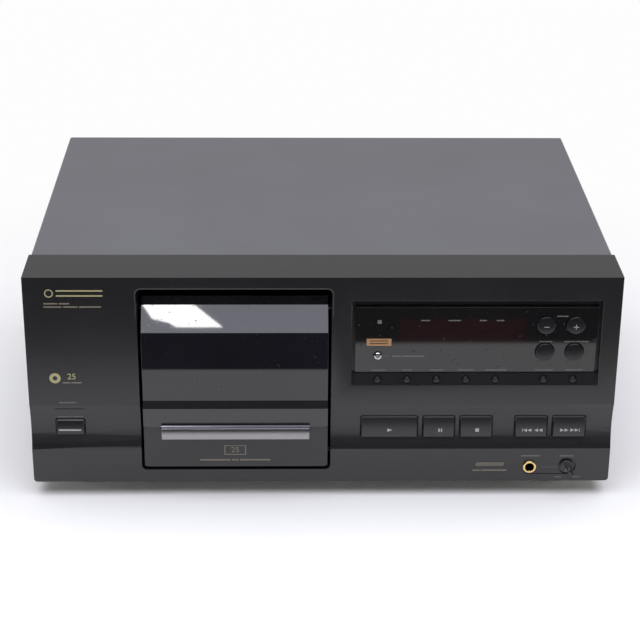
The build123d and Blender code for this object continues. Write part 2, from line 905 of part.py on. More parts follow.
with BuildPart() as hood_carrier:
    # the visible rail below the pane, with a sloping shoulder
    with BuildSketch(Plane.YZ.offset(hood_left)):
        with BuildLine():
            Polyline(
                (behind(-rail_proud), up(rail_low)),
                (behind(-rail_proud), up(rail_shoulder)),
                (behind(0), up(pane_low)),
                (behind(pane_thickness), up(pane_low)),
                (behind(pane_thickness), up(pane_low + rail_lap)),
                (behind(pane_thickness + backing_thickness), up(pane_low + rail_lap)),
                (behind(pane_thickness + backing_thickness), up(trim_low + backing_inset)),
                (behind(pane_thickness), up(trim_low + backing_inset)),
                (behind(pane_thickness), up(rail_low)),
                close=True,
            )
        make_face()
    extrude(amount=hood_width)
    for side in (0, 1):
        with BuildSketch(Plane.YZ.offset(hood_left + side * (hood_width - arm_thickness))):
            with BuildLine():
                Polyline(
                    (behind(pane_thickness), up(trim_low + backing_inset)),
                    (behind(pane_thickness), up(pane_bend - inset)),
                    (behind(facet_rise + step), up(pane_bend + facet_rise - step)),
                    (behind(pivot_depth + arm_boss), up(pivot_height)),
                    (behind(arm_depth), up(pane_bend - arm_splay)),
                    (behind(arm_depth), up(trim_low + backing_inset)),
                    close=True,
                )
            make_face()
        extrude(amount=arm_thickness)
    # the torsion bar between the arms turns about the pivot line
    with BuildSketch(Plane.YZ.offset(hood_left)):
        with Locations((behind(pivot_depth), up(pivot_height))):
            Circle(arm_boss)
    extrude(amount=hood_width)
    with BuildSketch(Plane.YZ.offset(door_left - 2 * tunnel_wall + 0.5)):
        with Locations((behind(pivot_depth), up(pivot_height))):
            Circle(pin_radius)
    extrude(amount=door_width + 4 * tunnel_wall - 1)
save(hood_carrier, "hood_carrier")

# ---------------------------------------------------------------- display block

with BuildPart() as display_window:
    with BuildSketch(facing(recess_depth)):
        with Locations((recess_x, up((recess_ledge + window_gap + window_high) / 2))):
            Rectangle(window_right - window_left, window_height - window_gap)
        for x in round_key_columns:
            with Locations((x, up(disc_key_height)), (x, up(mode_key_height))):
                Circle(round_key_radius + key_gap, mode=Mode.SUBTRACT)
        with Locations((title_key_x, up(title_key_height))):
            Circle(title_key_radius + key_gap, mode=Mode.SUBTRACT)
    extrude(amount=window_thickness)
    top_edge = display_window.edges().filter_by(Axis.X).group_by(Axis.Z)[-1].sort_by(Axis.Y)[0]
    chamfer(top_edge, window_chamfer)
save(display_window, "display_window")

with BuildPart() as display_tube:
    tube_x = (tube_left + tube_right) / 2
    tube_z = up((tube_low + tube_high) / 2)
    with BuildSketch(facing(board_depth - tube_cell)):
        with Locations((tube_x, tube_z)):
            Rectangle(tube_right - tube_left, tube_height)
    extrude(amount=board_depth - tube_cell - recess_depth - recess_wall - switch_gap)
    with BuildSketch(facing(board_depth)):
        with Locations((tube_x, tube_z)):
            Rectangle(tube_right - tube_left - 4 * tube_cell, tube_height - 3 * tube_cell)
    extrude(amount=tube_cell)
save(display_tube, "display_tube")


switch_height = board_depth - stem_end - key_travel - switch_gap

display_key_places = [(x, up(h)) for x in round_key_columns for h in (disc_key_height, mode_key_height)]
display_key_places += [(x, up(small_key_height)) for x in small_key_columns]
display_key_places.append((title_key_x, up(title_key_height)))

with BuildPart() as display_board:
    with BuildSketch(facing(board_depth + board_thickness)):
        with Locations((recess_x + sheet, up((recess_low + recess_high) / 2))):
            Rectangle(recess_width - sheet, recess_high - recess_low + 4 * sheet)
    extrude(amount=board_thickness)
    with BuildSketch(facing(board_depth)):
        with Locations(*display_key_places):
            Rectangle(switch_size, switch_size)
    extrude(amount=switch_height)
save(display_board, "display_board")

wide_keys = {
    "play_key": (play_left, play_right, transport_low, transport_high),
    "pause_key": (pause_left, pause_right, transport_low, transport_high),
    "stop_key": (stop_left, stop_right, transport_low, transport_high),
    "previous_key": (previous_left, previous_right, transport_low, transport_high),
    "next_key": (next_left, next_right, transport_low, transport_high),
    "power_key": (power_left, power_right, power_low, power_high),
}

with BuildPart() as key_boards:
    with BuildSketch(facing(board_depth + board_thickness)):
        with Locations(((play_left + next_right) / 2, transport_middle)):
            Rectangle(next_right - play_left + 2 * board_margin, transport_height + board_margin)
        with Locations((lamp_x, up((power_low + lamp_height) / 2 + 1))):
            Rectangle(power_width + 2 * board_margin, lamp_height - power_low + board_margin)
    extrude(amount=board_thickness)
    with BuildSketch(facing(board_depth)):
        with Locations(*[((key[0] + key[1]) / 2, up((key[2] + key[3]) / 2)) for key in wide_keys.values()]):
            Rectangle(switch_size, switch_size)
    extrude(amount=switch_height)
    # lamp behind the standby lens
    with BuildSketch(facing(board_depth)):
        with Locations((lamp_x, up(lamp_height))):
            Circle(lamp_radius)
    extrude(amount=board_depth - lamp_depth)
save(key_boards, "key_boards")


def wide_key(left, right, low, high):
    """Wide key with a bevelled top edge, a retaining flange and a stem."""
    middle = ((left + right) / 2, up((low + high) / 2))
    flange_depth = panel_wall + scoop_depth + switch_gap
    with BuildPart() as key:
        with BuildSketch(facing(flange_depth + key_flange_thickness)):
            with Locations(middle):
                RectangleRounded(right - left, high - low, key_corner)
        extrude(amount=flange_depth + key_flange_thickness - transport_face)
        face_edge = key.edges().filter_by(Axis.X).group_by(Axis.Y)[0].sort_by(Axis.Z)[-1]
        chamfer(face_edge, key_bevel, key_bevel * 0.8)
        with BuildSketch(facing(flange_depth + key_flange_thickness)):
            with Locations(middle):
                Rectangle(right - left + 2 * key_flange, high - low + 2 * key_flange)
        extrude(amount=key_flange_thickness)
        with BuildSketch(facing(stem_end)):
            with Locations(middle):
                Circle(key_stem)
        extrude(amount=stem_end - flange_depth)
    return key


for name, (left, right, low, high) in wide_keys.items():
    save(wide_key(left, right, low, high), name)


def round_key(x, height, radius, face_depth):
    """Round key with a softened rim, a retaining flange and a stem."""
    middle = (x, up(height))
    flange_depth = recess_depth + recess_wall + switch_gap
    with BuildPart() as key:
        with BuildSketch(facing(flange_depth + key_flange_thickness)):
            with Locations(middle):
                Circle(radius)
        extrude(amount=flange_depth + key_flange_thickness - face_depth)
        rim = key.edges().filter_by(GeomType.CIRCLE).group_by(Axis.Y)[0]
        fillet(rim, min(1.0, radius * 0.4))
        with BuildSketch(facing(flange_depth + key_flange_thickness)):
            with Locations(middle):
                Circle(radius + key_flange)
        extrude(amount=key_flange_thickness)
        with BuildSketch(facing(stem_end)):
            with Locations(middle):
                Circle(min(key_stem, radius - 0.5))
        extrude(amount=stem_end - flange_depth)
    return key


window_face = recess_depth - window_thickness
for name, column, height in (
    ("disc_minus_key", 0, disc_key_height),
    ("disc_plus_key", 1, disc_key_height),
    ("select_key", 0, mode_key_height),
    ("program_key", 1, mode_key_height),
):
    save(round_key(round_key_columns[column], height, round_key_radius, window_face - round_key_proud), name)
save(round_key(title_key_x, title_key_height, title_key_radius, window_face - title_key_proud), "title_key")
for index, x in enumerate(small_key_columns):
    save(round_key(x, small_key_height, small_key_radius, small_key_face), f"small_key_{index + 1}")

with BuildPart() as standby_lens:
    lens_back = panel_wall + scoop_depth + switch_gap + lens_flange_thickness
    with BuildSketch(facing(lens_back)):
        with Locations((lamp_x, up(lamp_height))):
            Rectangle(lamp_width - lens_gap, lamp_thickness - lens_gap)
            Circle(lamp_bead - lens_gap / 2)
    extrude(amount=lens_back - lens_face)
    with BuildSketch(facing(lens_back)):
        with Locations((lamp_x, up(lamp_height))):
            Rectangle(lamp_width + lens_flange, lamp_thickness + lens_flange)
    extrude(amount=lens_flange_thickness)
save(standby_lens, "standby_lens")

# ---------------------------------------------------------------- jack and level knob

with BuildPart() as jack_ring:
    with BuildSketch(facing(track_depth)):
        with Locations((jack_x, up(jack_height))):
            Circle(jack_bush)
    extrude(amount=track_depth + jack_proud)
    ring_edge = jack_ring.edges().filter_by(GeomType.CIRCLE).group_by(Axis.Y)[0]
    fillet(ring_edge, 0.6)
    with BuildSketch(facing(panel_wall)):
        with Locations((jack_x, up(jack_height))):
            Circle(jack_neck)
    extrude(amount=panel_wall - track_depth)
    with BuildSketch(facing(panel_wall)):
        with Locations((jack_x, up(jack_height))):
            Circle(jack_bore)
    extrude(amount=panel_wall + 2 * jack_proud, mode=Mode.SUBTRACT)
save(jack_ring, "jack_ring")

with BuildPart() as headphone_jack:
    with BuildSketch(facing(panel_wall + jack_length)):
        with Locations((jack_x, up(jack_height))):
            RectangleRounded(jack_body, jack_body, 1)
    extrude(amount=jack_length)
    with BuildSketch(facing(panel_wall + jack_length - jack_end)):
        with Locations((jack_x, up(jack_height))):
            Circle(jack_bore)
    extrude(amount=jack_length - jack_end, mode=Mode.SUBTRACT)
save(headphone_jack, "headphone_jack")

with BuildPart() as level_pot:
    with BuildSketch(facing(panel_wall + pot_depth)):
        with Locations((knob_x, up(knob_height))):
            RectangleRounded(pot_size, pot_size, 1)
    extrude(amount=pot_depth)
    with BuildSketch(facing(panel_wall)):
        with Locations((knob_x, up(knob_height))):
            Circle(pot_shaft)
    extrude(amount=panel_wall + pot_engage)
save(level_pot, "level_pot")

with BuildPart() as level_knob:
    with BuildSketch(facing(knob_recess_depth - knob_rest)):
        with Locations((knob_x, up(knob_height))):
            Circle(knob_radius)
    extrude(amount=knob_recess_depth - knob_rest + knob_proud)
    knob_rim = level_knob.edges().filter_by(GeomType.CIRCLE).group_by(Axis.Y)[0]
    fillet(knob_rim, 0.6)
    with BuildSketch(facing(-0.6)):
        with Locations(Location((knob_x, up(knob_height)), pointer_angle)):
            with Locations((pointer_length / 2, 0)):
                Rectangle(pointer_length, pointer_width)
    extrude(amount=knob_proud - 0.6)
    with BuildSketch(facing(knob_recess_depth - knob_rest)):
        with Locations((knob_x, up(knob_height))):
            Circle(pot_shaft + running_gap)
    extrude(amount=knob_recess_depth - knob_rest + pot_engage + 1, mode=Mode.SUBTRACT)
save(level_knob, "level_knob")

# ---------------------------------------------------------------- disc rack and its drive

hub_top = disc_low + hub_height

with BuildPart() as carousel_post:
    with BuildSketch(Plane.XY.offset(pan_top)):
        with Locations((rack_x, rack_y)):
            Circle(post_foot)
    extrude(amount=post_foot_height)
    with BuildSketch(Plane.XY.offset(pan_top)):
        with Locations((rack_x, rack_y)):
            Circle(post_radius + post_collar)
    extrude(amount=rack_low - pan_top - sheet_gap)
    with BuildSketch(Plane.XY.offset(pan_top)):
        with Locations((rack_x, rack_y)):
            Circle(post_radius)
    extrude(amount=hub_top + switch_gap + post_cap - pan_top)
    with BuildSketch(Plane.XY.offset(hub_top + switch_gap)):
        with Locations((rack_x, rack_y)):
            Circle(post_radius + post_collar)
    extrude(amount=post_cap)
save(carousel_post, "carousel_post")

with BuildPart() as carousel_rack:
    hub_radius = post_radius + hub_wall
    inner_wall = disc_ring - cup_inner
    outer_wall = disc_ring + cup_outer
    with BuildSketch(Plane(origin=(rack_x, rack_y, 0), x_dir=(1, 0, 0), z_dir=(0, -1, 0))):
        with BuildLine():
            Polyline(
                (post_radius + running_gap, rack_low),
                (post_radius + running_gap, hub_top),
                (hub_radius, hub_top),
                (hub_radius, hub_top - hub_shoulder),
                (inner_wall, disc_low + cup_high),
                (inner_wall, rack_low + rack_floor),
                (outer_wall, rack_low + rack_floor),
                (outer_wall + cup_flare, disc_low + cup_high),
                (rack_radius - rim_ledge, disc_low + rim_height),
                (rack_radius, disc_low + rim_height),
                (rack_radius, rack_low),
                (rack_radius - rim_wall, rack_low),
                (rack_radius - rim_wall, disc_low + cup_low),
                (outer_wall + cup_wall, disc_low + cup_low),
                (outer_wall + cup_wall / 3, rack_low),
                (inner_wall - cup_wall, rack_low),
                (inner_wall - cup_wall, disc_low + cup_low),
                (hub_radius, disc_low + cup_low),
                (hub_radius, rack_low),
                close=True,
            )
        make_face()
    revolve(axis=Axis((rack_x, rack_y, 0), (0, 0, 1)))
    # every slot is the room of one upright disc
    with Locations((rack_x, rack_y, disc_z)):
        with PolarLocations(disc_ring, slot_count):
            Cylinder(disc_radius + disc_slack, slot_width, rotation=(90, 0, 0), mode=Mode.SUBTRACT)
save(carousel_rack, "carousel_rack")

with BuildPart() as carousel_gear:
    with BuildSketch(Plane.XY.offset(gear_low)):
        with Locations((rack_x, rack_y)):
            Polygon(*gear_outline(ring_teeth, gear_module, drive_angle), align=None)
            Circle(ring_pitch - gear_band, mode=Mode.SUBTRACT)
    extrude(amount=gear_width)
save(carousel_gear, "carousel_gear")

belt_z = rack_low + belt_lift

with BuildPart() as drive_gear:
    space_phase = drive_angle + 180 + 180 / drive_teeth
    with BuildSketch(Plane.XY.offset(gear_low)):
        with Locations((drive_x, drive_y)):
            Polygon(*gear_outline(drive_teeth, gear_module, space_phase), align=None)
    extrude(amount=gear_width)
    with BuildSketch(Plane.XY.offset(gear_low)):
        with Locations((drive_x, drive_y)):
            Circle(stud_radius + stud_shoulder + sheet)
    extrude(amount=belt_z + 1 + pulley_flange - gear_low)
    for low, height, radius in (
        (belt_z - 1 - pulley_flange, pulley_flange, drive_pulley),
        (belt_z - 1, 2.0, drive_pulley - belt_thickness),
        (belt_z + 1, pulley_flange, drive_pulley),
    ):
        with BuildSketch(Plane.XY.offset(low)):
            with Locations((drive_x, drive_y)):
                Circle(radius)
        extrude(amount=height)
    with BuildSketch(Plane.XY.offset(gear_low)):
        with Locations((drive_x, drive_y)):
            Circle(stud_radius + running_gap)
    extrude(amount=belt_z + 2 * pulley_flange - gear_low, mode=Mode.SUBTRACT)
save(drive_gear, "drive_gear")

with BuildPart() as carousel_motor:
    with BuildSketch(Plane.XY.offset(pan_top)):
        with Locations((motor_x, motor_y)):
            Circle(motor_radius)
    extrude(amount=motor_height)
    can_edge = carousel_motor.edges().filter_by(GeomType.CIRCLE).group_by(Axis.Z)[-1]
    fillet(can_edge, 1.5)
    with BuildSketch(Plane.XY.offset(pan_top + motor_height)):
        with Locations((motor_x, motor_y)):
            Circle(2 * motor_shaft + 1)
    extrude(amount=motor_flange)
    with BuildSketch(Plane.XY.offset(pan_top + motor_height / 3)):
        with Locations((motor_x, motor_y)):
            Circle(motor_shaft + running_gap)
    extrude(amount=motor_height, mode=Mode.SUBTRACT)
    with BuildSketch(Plane.XY.offset(pan_top)):
        with Locations((motor_x, motor_y)):
            SlotOverall(2 * (motor_radius + motor_ear), motor_ear_width)
            Circle(motor_radius, mode=Mode.SUBTRACT)
    extrude(amount=2 * sheet)
save(carousel_motor, "carousel_motor")

with BuildPart() as motor_pulley:
    for low, height, radius in (
        (belt_z - 1 - motor_flange, motor_flange, motor_pulley_radius),
        (belt_z - 1, 2.0, motor_pulley_radius - belt_thickness),
        (belt_z + 1, motor_flange, motor_pulley_radius),
    ):
        with BuildSketch(Plane.XY.offset(low)):
            with Locations((motor_x, motor_y)):
                Circle(radius)
        extrude(amount=height)
    shaft_low = pan_top + motor_height / 3 + 1
    with BuildSketch(Plane.XY.offset(shaft_low)):
        with Locations((motor_x, motor_y)):
            Circle(motor_shaft)
    extrude(amount=belt_z - 1 - motor_flange - shaft_low)
save(motor_pulley, "motor_pulley")

with BuildPart() as drive_belt:
    with BuildSketch(Plane.XY.offset(belt_z - belt_thickness / 2)):
        with BuildSketch(Plane.XY.offset(belt_z - belt_thickness / 2), mode=Mode.PRIVATE) as belt_inside:
            with Locations((drive_x, drive_y)):
                Circle(drive_pulley - belt_thickness + belt_gap)
            with Locations((motor_x, motor_y)):
                Circle(motor_pulley_radius - belt_thickness + belt_gap)
            make_hull()
        offset(belt_inside.sketch_local, amount=belt_thickness - belt_gap)
        add(belt_inside.sketch_local, mode=Mode.SUBTRACT)
    extrude(amount=belt_thickness)
save(drive_belt, "drive_belt")

# ---------------------------------------------------------------- playback mechanism

sled_travel = sled_pitches * pi * sled_module
sled_z = play_z + sled_start
rod_y = plate_back + rod_gap
sled_bar_x = play_x + rod_offset + sled_bar_gap
sled_pitch_x = sled_bar_x + sled_bar_width + dedendum * sled_module
sled_gear_x = sled_pitch_x + sled_gear_teeth * sled_module / 2 + mesh_gap
sled_gear_z = play_z + sled_gear_rise
clamp_y = rack_y - clamp_setback

with BuildPart() as mech_frame:
    plate_middle = (plate_left + plate_right) / 2
    with BuildSketch(upright(plate_back)):
        with Locations((plate_middle, (pan_top + up(plate_high)) / 2)):
            RectangleRounded(plate_right - plate_left, up(plate_high) - pan_top, 2)
        with Locations((play_x, play_z)):
            Circle(spindle_clearance, mode=Mode.SUBTRACT)
        slot_low = sled_z - sled_half_height - 0.5
        slot_high = sled_z + sled_half_height + sled_travel + 1
        with Locations((play_x, (slot_low + slot_high) / 2)):
            Rectangle(2 * sled_half_width + 4, slot_high - slot_low, mode=Mode.SUBTRACT)
        # lightening windows: sideways from the spindle, and up from the spindle
        for left, right, low, high in plate_windows:
            with Locations((play_x + (left + right) / 2, play_z + (low + high) / 2)):
                RectangleRounded(right - left, high - low, plate_window_round, mode=Mode.SUBTRACT)
    extrude(amount=plate_thickness)
    # foot, side and head flanges folded back
    with BuildSketch(upright(plate_back)):
        with Locations((plate_middle, pan_top + plate_thickness / 2)):
            Rectangle(plate_right - plate_left - 2 * plate_window_round, plate_thickness)
        with Locations((plate_right - plate_thickness / 2, (pan_top + up(plate_high)) / 2)):
            Rectangle(plate_thickness, up(plate_high) - pan_top - plate_window_round)
        with Locations((plate_middle, up(plate_high) - plate_thickness / 2)):
            Rectangle(plate_right - plate_left - 2 * plate_window_round, plate_thickness)
    extrude(amount=-plate_flange)
    # rod lugs under the sled
    with BuildSketch(upright(plate_back)):
        for side in (-1, 1):
            with Locations((play_x + side * rod_offset, play_z + 7)):
                Rectangle(4 * rod_radius, 4)
    extrude(amount=-(rod_gap + rod_radius + 2))
    for side in (-1, 1):
        with BuildSketch(Plane.XY.offset(play_z + 6)):
            with Locations((play_x + side * rod_offset, rod_y)):
                Circle(rod_radius + rod_fit)
        extrude(amount=4, mode=Mode.SUBTRACT)
    # sled gear pin
    with BuildSketch(upright(plate_back)):
        with Locations((sled_gear_x, sled_gear_z)):
            Circle(sled_gear_pin)
    extrude(amount=-(sled_gear_width + 2.5))
    # pin of the loading lever
    with BuildSketch(upright(plate_front)):
        with Locations((lever_x, up(lever_height))):
            Circle(lever_pin)
    extrude(amount=lever_thickness + 5)
save(mech_frame, "mech_frame")

with BuildPart() as clamp_bracket:
    # strip on the front of the plate, with a lug above and below the playing disc's edge
    with BuildSketch(upright(plate_front)):
        with Locations((clamp_x, play_z)):
            Rectangle(2 * clamp_hub, 2 * clamp_span)
    extrude(amount=clamp_back)
    for low in (play_z - clamp_span, play_z + clamp_span - clamp_lug):
        with BuildSketch(Plane.XY.offset(low)):
            with Locations((clamp_x, (clamp_y + plate_front) / 2)):
                Rectangle(2 * clamp_hub, plate_front - clamp_y)
            with Locations((clamp_x, clamp_y)):
                Circle(clamp_hub)
                Circle(clamp_pin + running_gap, mode=Mode.SUBTRACT)
        extrude(amount=clamp_lug)
save(clamp_bracket, "clamp_bracket")

with BuildPart() as guide_rods:
    with BuildSketch(Plane.XY.offset(play_z + 6.2)):
        for side in (-1, 1):
            with Locations((play_x + side * rod_offset, rod_y)):
                Circle(rod_radius)
    extrude(amount=up(plate_high) - plate_thickness - play_z - 6.2 - 0.1)
save(guide_rods, "guide_rods")

with BuildPart() as spindle_motor:
    with BuildSketch(upright(plate_back + spindle_can_depth)):
        with Locations((play_x, play_z)):
            Circle(spindle_can)
    extrude(amount=spindle_can_depth)
    back_edge = spindle_motor.edges().filter_by(GeomType.CIRCLE).group_by(Axis.Y)[-1]
    fillet(back_edge, 1.5)
    with BuildSketch(upright(plate_back + spindle_engage + 1)):
        with Locations((play_x, play_z)):
            Circle(spindle_radius + running_gap)
    extrude(amount=spindle_engage + 1, mode=Mode.SUBTRACT)
save(spindle_motor, "spindle_motor")

table_y = rack_y + disc_thickness / 2 + disc_gap

with BuildPart() as turntable:
    with BuildSketch(Plane(origin=(play_x, 0, play_z), x_dir=(1, 0, 0), z_dir=(0, 0, 1))):
        with BuildLine():
            Polyline(
                (0, table_y - cone_height),
                (cone_tip, table_y - cone_height),
                (cone_radius, table_y),
                (table_radius, table_y),
                (table_radius, table_y + table_thickness),
                (spindle_radius, table_y + table_thickness),
                (spindle_radius, plate_back + spindle_engage),
                (0, plate_back + spindle_engage),
                close=True,
            )
        make_face()
    revolve(axis=Axis((play_x, 0, play_z), (0, 1, 0)))
save(turntable, "turntable")

with BuildPart() as clamp_arm:
    arm_front = clamp_y - 3.5
    with BuildSketch(upright(arm_front + clamp_arm_thickness)):
        with BuildLine():
            Polyline(
                (clamp_x, play_z - clamp_arm_root),
                (clamp_x, play_z + clamp_arm_root),
                (play_x, play_z + clamp_arm_tip),
                (play_x, play_z - clamp_arm_tip),
                close=True,
            )
        make_face()
        with Locations((play_x, play_z)):
            Circle(clamp_arm_tip)
    extrude(amount=clamp_arm_thickness)
    hub_half = clamp_span - clamp_lug - 0.4
    with BuildSketch(Plane.XY.offset(play_z - hub_half)):
        with Locations((clamp_x, clamp_y)):
            Circle(clamp_hub)
    extrude(amount=2 * hub_half)
    with BuildSketch(Plane.XY.offset(play_z - clamp_span)):
        with Locations((clamp_x, clamp_y)):
            Circle(clamp_pin)
    extrude(amount=2 * clamp_span)
    with BuildSketch(upright(arm_front + clamp_arm_thickness)):
        with Locations((play_x, play_z)):
            Circle(puck_neck + running_gap)
    extrude(amount=clamp_arm_thickness, mode=Mode.SUBTRACT)
save(clamp_arm, "clamp_arm")

with BuildPart() as clamper:
    puck_back = arm_front + clamp_arm_thickness + 0.5
    with BuildSketch(Plane(origin=(play_x, 0, play_z), x_dir=(1, 0, 0), z_dir=(0, 0, 1))):
        with BuildLine():
            Polyline(
                (0, arm_front - disc_gap - 2),
                (2 * puck_neck, arm_front - disc_gap - 2),
                (2 * puck_neck, arm_front - disc_gap),
                (puck_neck, arm_front - disc_gap),
                (puck_neck, puck_back),
                (puck_radius - 2, puck_back),
                (puck_radius, puck_back + 2),
                (puck_radius, rack_y - disc_thickness / 2 - disc_gap),
                (cone_radius + 1, rack_y - disc_thickness / 2 - disc_gap),
                (cone_radius + 1, table_y - cone_height - 1),
                (0, table_y - cone_height - 1),
                close=True,
            )
        make_face()
    revolve(axis=Axis((play_x, 0, play_z), (0, 1, 0)))
save(clamper, "clamper")


def rack_teeth(count, module, pitch_x, start_z):
    """Corners of a straight rack's toothed side, from its lowest tooth up."""
    pitch = pi * module
    half = (pitch / 2 - backlash * min(1, module / 2)) / 2
    lean = tan(radians(pressure_angle))
    corners = []
    for index in range(count):
        centre = start_z + index * pitch
        for height, side in ((-dedendum, -1), (addendum, -1), (addendum, 1), (-dedendum, 1)):
            width = half - height * module * lean
            corners.append((pitch_x + height * module, centre + side * width))
    return corners


with BuildPart() as pickup_sled:
    sled_back = plate_back + rod_gap + rod_radius + 1
    sled_face = table_y + table_thickness - 0.6
    with BuildSketch(upright(sled_back)):
        with Locations((play_x, sled_z)):
            RectangleRounded(2 * sled_half_width, 2 * sled_half_height, lens_radius)
    extrude(amount=sled_back - sled_face)
    with BuildSketch(upright(sled_back)):
        with Locations((play_x, sled_z)):
            Rectangle(2 * (rod_offset + sled_bar_gap), sled_bridge)
    extrude(amount=2 * (rod_radius + 1))
    for side in (-1, 1):
        with BuildSketch(Plane.XY.offset(sled_z - sled_bridge)):
            with Locations((play_x + side * rod_offset, rod_y)):
                Circle(rod_radius + running_gap)
        extrude(amount=2 * sled_bridge, mode=Mode.SUBTRACT)
    # lens
    with BuildSketch(upright(sled_face)):
        with Locations((play_x, sled_z)):
            Circle(lens_radius)
    extrude(amount=lens_proud)
    # toothed bar on the right side, long enough for the whole travel
    tooth_count = sled_pitches + 3
    first_tooth = sled_gear_z - (tooth_count - 2) * pi * sled_module
    with BuildSketch(upright(plate_back + 1 + sled_gear_width)):
        with BuildLine():
            bar_low = first_tooth - 2.5 * sled_module
            bar_high = first_tooth + tooth_count * pi * sled_module
            Polyline(
                (sled_bar_x, bar_low),
                (sled_bar_x + sled_bar_width, bar_low),
                *rack_teeth(tooth_count, sled_module, sled_pitch_x, first_tooth),
                (sled_bar_x + sled_bar_width, bar_high),
                (sled_bar_x, bar_high),
                close=True,
            )
        make_face()
    extrude(amount=sled_gear_width)
save(pickup_sled, "pickup_sled")

with BuildPart() as sled_gear:
    with BuildSketch(upright(plate_back + 1 + sled_gear_width)):
        with Locations((sled_gear_x, sled_gear_z)):
            Polygon(*gear_outline(sled_gear_teeth, sled_module, 180 + 180 / sled_gear_teeth), align=None)
            Circle(sled_gear_pin + running_gap, mode=Mode.SUBTRACT)
    extrude(amount=sled_gear_width)
save(sled_gear, "sled_gear")

with BuildPart() as loading_lever:
    lever_z = up(lever_height)
    with BuildSketch(upright(plate_front - 2)):
        with BuildLine():
            inner = disc_radius + lever_inner_gap
            outer = disc_radius + lever_outer_gap
            start = radians(lever_start)
            end = radians(lever_end)
            middle = (start + end) / 2
            a = (play_x + inner * cos(start), play_z + inner * sin(start))
            b = (play_x + inner * cos(middle), play_z + inner * sin(middle))
            c = (play_x + inner * cos(end), play_z + inner * sin(end))
            d = (play_x + outer * cos(end), play_z + outer * sin(end))
            e = (play_x + outer * cos(middle), play_z + outer * sin(middle))
            f = (play_x + outer * cos(start), play_z + outer * sin(start))
            ThreePointArc(a, b, c)
            Line(c, d)
            ThreePointArc(d, e, f)
            Line(f, a)
        make_face()
        with Locations((lever_x, lever_z)):
            Circle(lever_hub)
    extrude(amount=lever_thickness)
    with BuildSketch(upright(plate_front - 2)):
        with Locations((lever_x, lever_z)):
            Circle(lever_pin + running_gap)
    extrude(amount=lever_thickness + 1, mode=Mode.SUBTRACT)
save(loading_lever, "loading_lever")

# ---------------------------------------------------------------- electrics

board_z = pan_top + standoff

with BuildPart() as main_board:
    with BuildSketch(Plane.XY.offset(board_z)):
        with Locations(main_middle):
            Rectangle(main_width, main_length)
    extrude(amount=board_thickness)
    board_face = board_z + board_thickness
    with BuildSketch(Plane.XY.offset(board_face)):
        with Locations(*[(main_left + x, main_front + y) for x, y in ((16, 25), (32, 25), (16, 43))]):
            Circle(capacitor_radius)
    extrude(amount=capacitor_height)
    with BuildSketch(Plane.XY.offset(board_face)):
        with Locations((main_left + 66, main_front + 35)):
            Rectangle(chip_size, chip_size)
        with Locations((main_left + 66, main_front + 70), (main_left + 36, main_front + 73)):
            Rectangle(14, 20)
        with Locations((main_left + 101, main_front + 15)):
            Rectangle(20, 8)
    extrude(amount=chip_height)
    # finned heat sink
    with BuildSketch(Plane.XY.offset(board_face)):
        with Locations((main_left + 100, main_front + 55)):
            Rectangle(fin_spine, fin_pitch * 4 + 2)
            with GridLocations(0, fin_pitch, 1, 5):
                Rectangle(fin_length, fin_thickness)
    extrude(amount=fin_height)
save(main_board, "main_board")

with BuildPart() as power_transformer:
    with BuildSketch(Plane.XY.offset(pan_top)):
        with Locations((transformer_x, transformer_y)):
            Rectangle(transformer_width, transformer_length)
            with Locations((-transformer_hole, 0), (transformer_hole, 0)):
                Circle(2, mode=Mode.SUBTRACT)
    extrude(amount=transformer_plate)
    with BuildSketch(Plane.XY.offset(pan_top + transformer_plate)):
        with Locations((transformer_x, transformer_y)):
            Rectangle(transformer_core, transformer_length)
    extrude(amount=transformer_height)
    with BuildSketch(Plane.XY.offset(pan_top + transformer_coil_lift)):
        with Locations((transformer_x, transformer_y)):
            RectangleRounded(transformer_width, transformer_coil, 8)
    extrude(amount=transformer_coil_height)
save(power_transformer, "power_transformer")

with BuildPart() as line_out_jacks:
    with BuildSketch(upright(rear_face - sheet)):
        with Locations((phono_x + phono_pitch / 2, up(phono_height - 4))):
            Rectangle(phono_pitch + 4 * phono_radius, phono_block_height)
    extrude(amount=phono_block)
    # neck through the panel and the barrel behind it
    with BuildSketch(upright(rear_face - sheet)):
        with Locations((phono_x, up(phono_height)), (phono_x + phono_pitch, up(phono_height))):
            Circle(phono_neck)
    extrude(amount=-(phono_step + rear_inset + sheet))
    with BuildSketch(upright(rear_y + phono_proud)):
        with Locations((phono_x, up(phono_height)), (phono_x + phono_pitch, up(phono_height))):
            Circle(phono_radius)
    extrude(amount=phono_proud - phono_step)
    with BuildSketch(upright(rear_y + phono_proud)):
        with Locations((phono_x, up(phono_height)), (phono_x + phono_pitch, up(phono_height))):
            Circle(phono_pin_bore)
    extrude(amount=phono_proud, mode=Mode.SUBTRACT)
save(line_out_jacks, "line_out_jacks")

with BuildPart() as cord_gland:
    with BuildSketch(Plane(origin=(gland_x, 0, up(gland_height)), x_dir=(1, 0, 0), z_dir=(0, 0, 1))):
        with BuildLine():
            Polyline(
                (gland_bore, rear_face - sheet - 2 * gland_collar),
                (gland_radius + gland_collar, rear_face - sheet - 2 * gland_collar),
                (gland_radius + gland_collar, rear_face - sheet),
                (gland_radius, rear_face - sheet),
                (gland_radius, rear_face),
                (gland_radius + gland_collar, rear_face),
                (gland_radius + gland_collar, rear_face + gland_collar),
                (gland_radius, rear_face + 2 * gland_collar),
                (gland_radius - 1, rear_y + gland_nose),
                (gland_bore, rear_y + gland_nose),
                close=True,
            )
        make_face()
    revolve(axis=Axis((gland_x, 0, up(gland_height)), (0, 1, 0)))
save(cord_gland, "cord_gland")
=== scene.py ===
import logging
import math
from dataclasses import dataclass, field
from enum import Enum

import bmesh
import bpy
from mathutils import Matrix, Vector
from mathutils.bvhtree import BVHTree


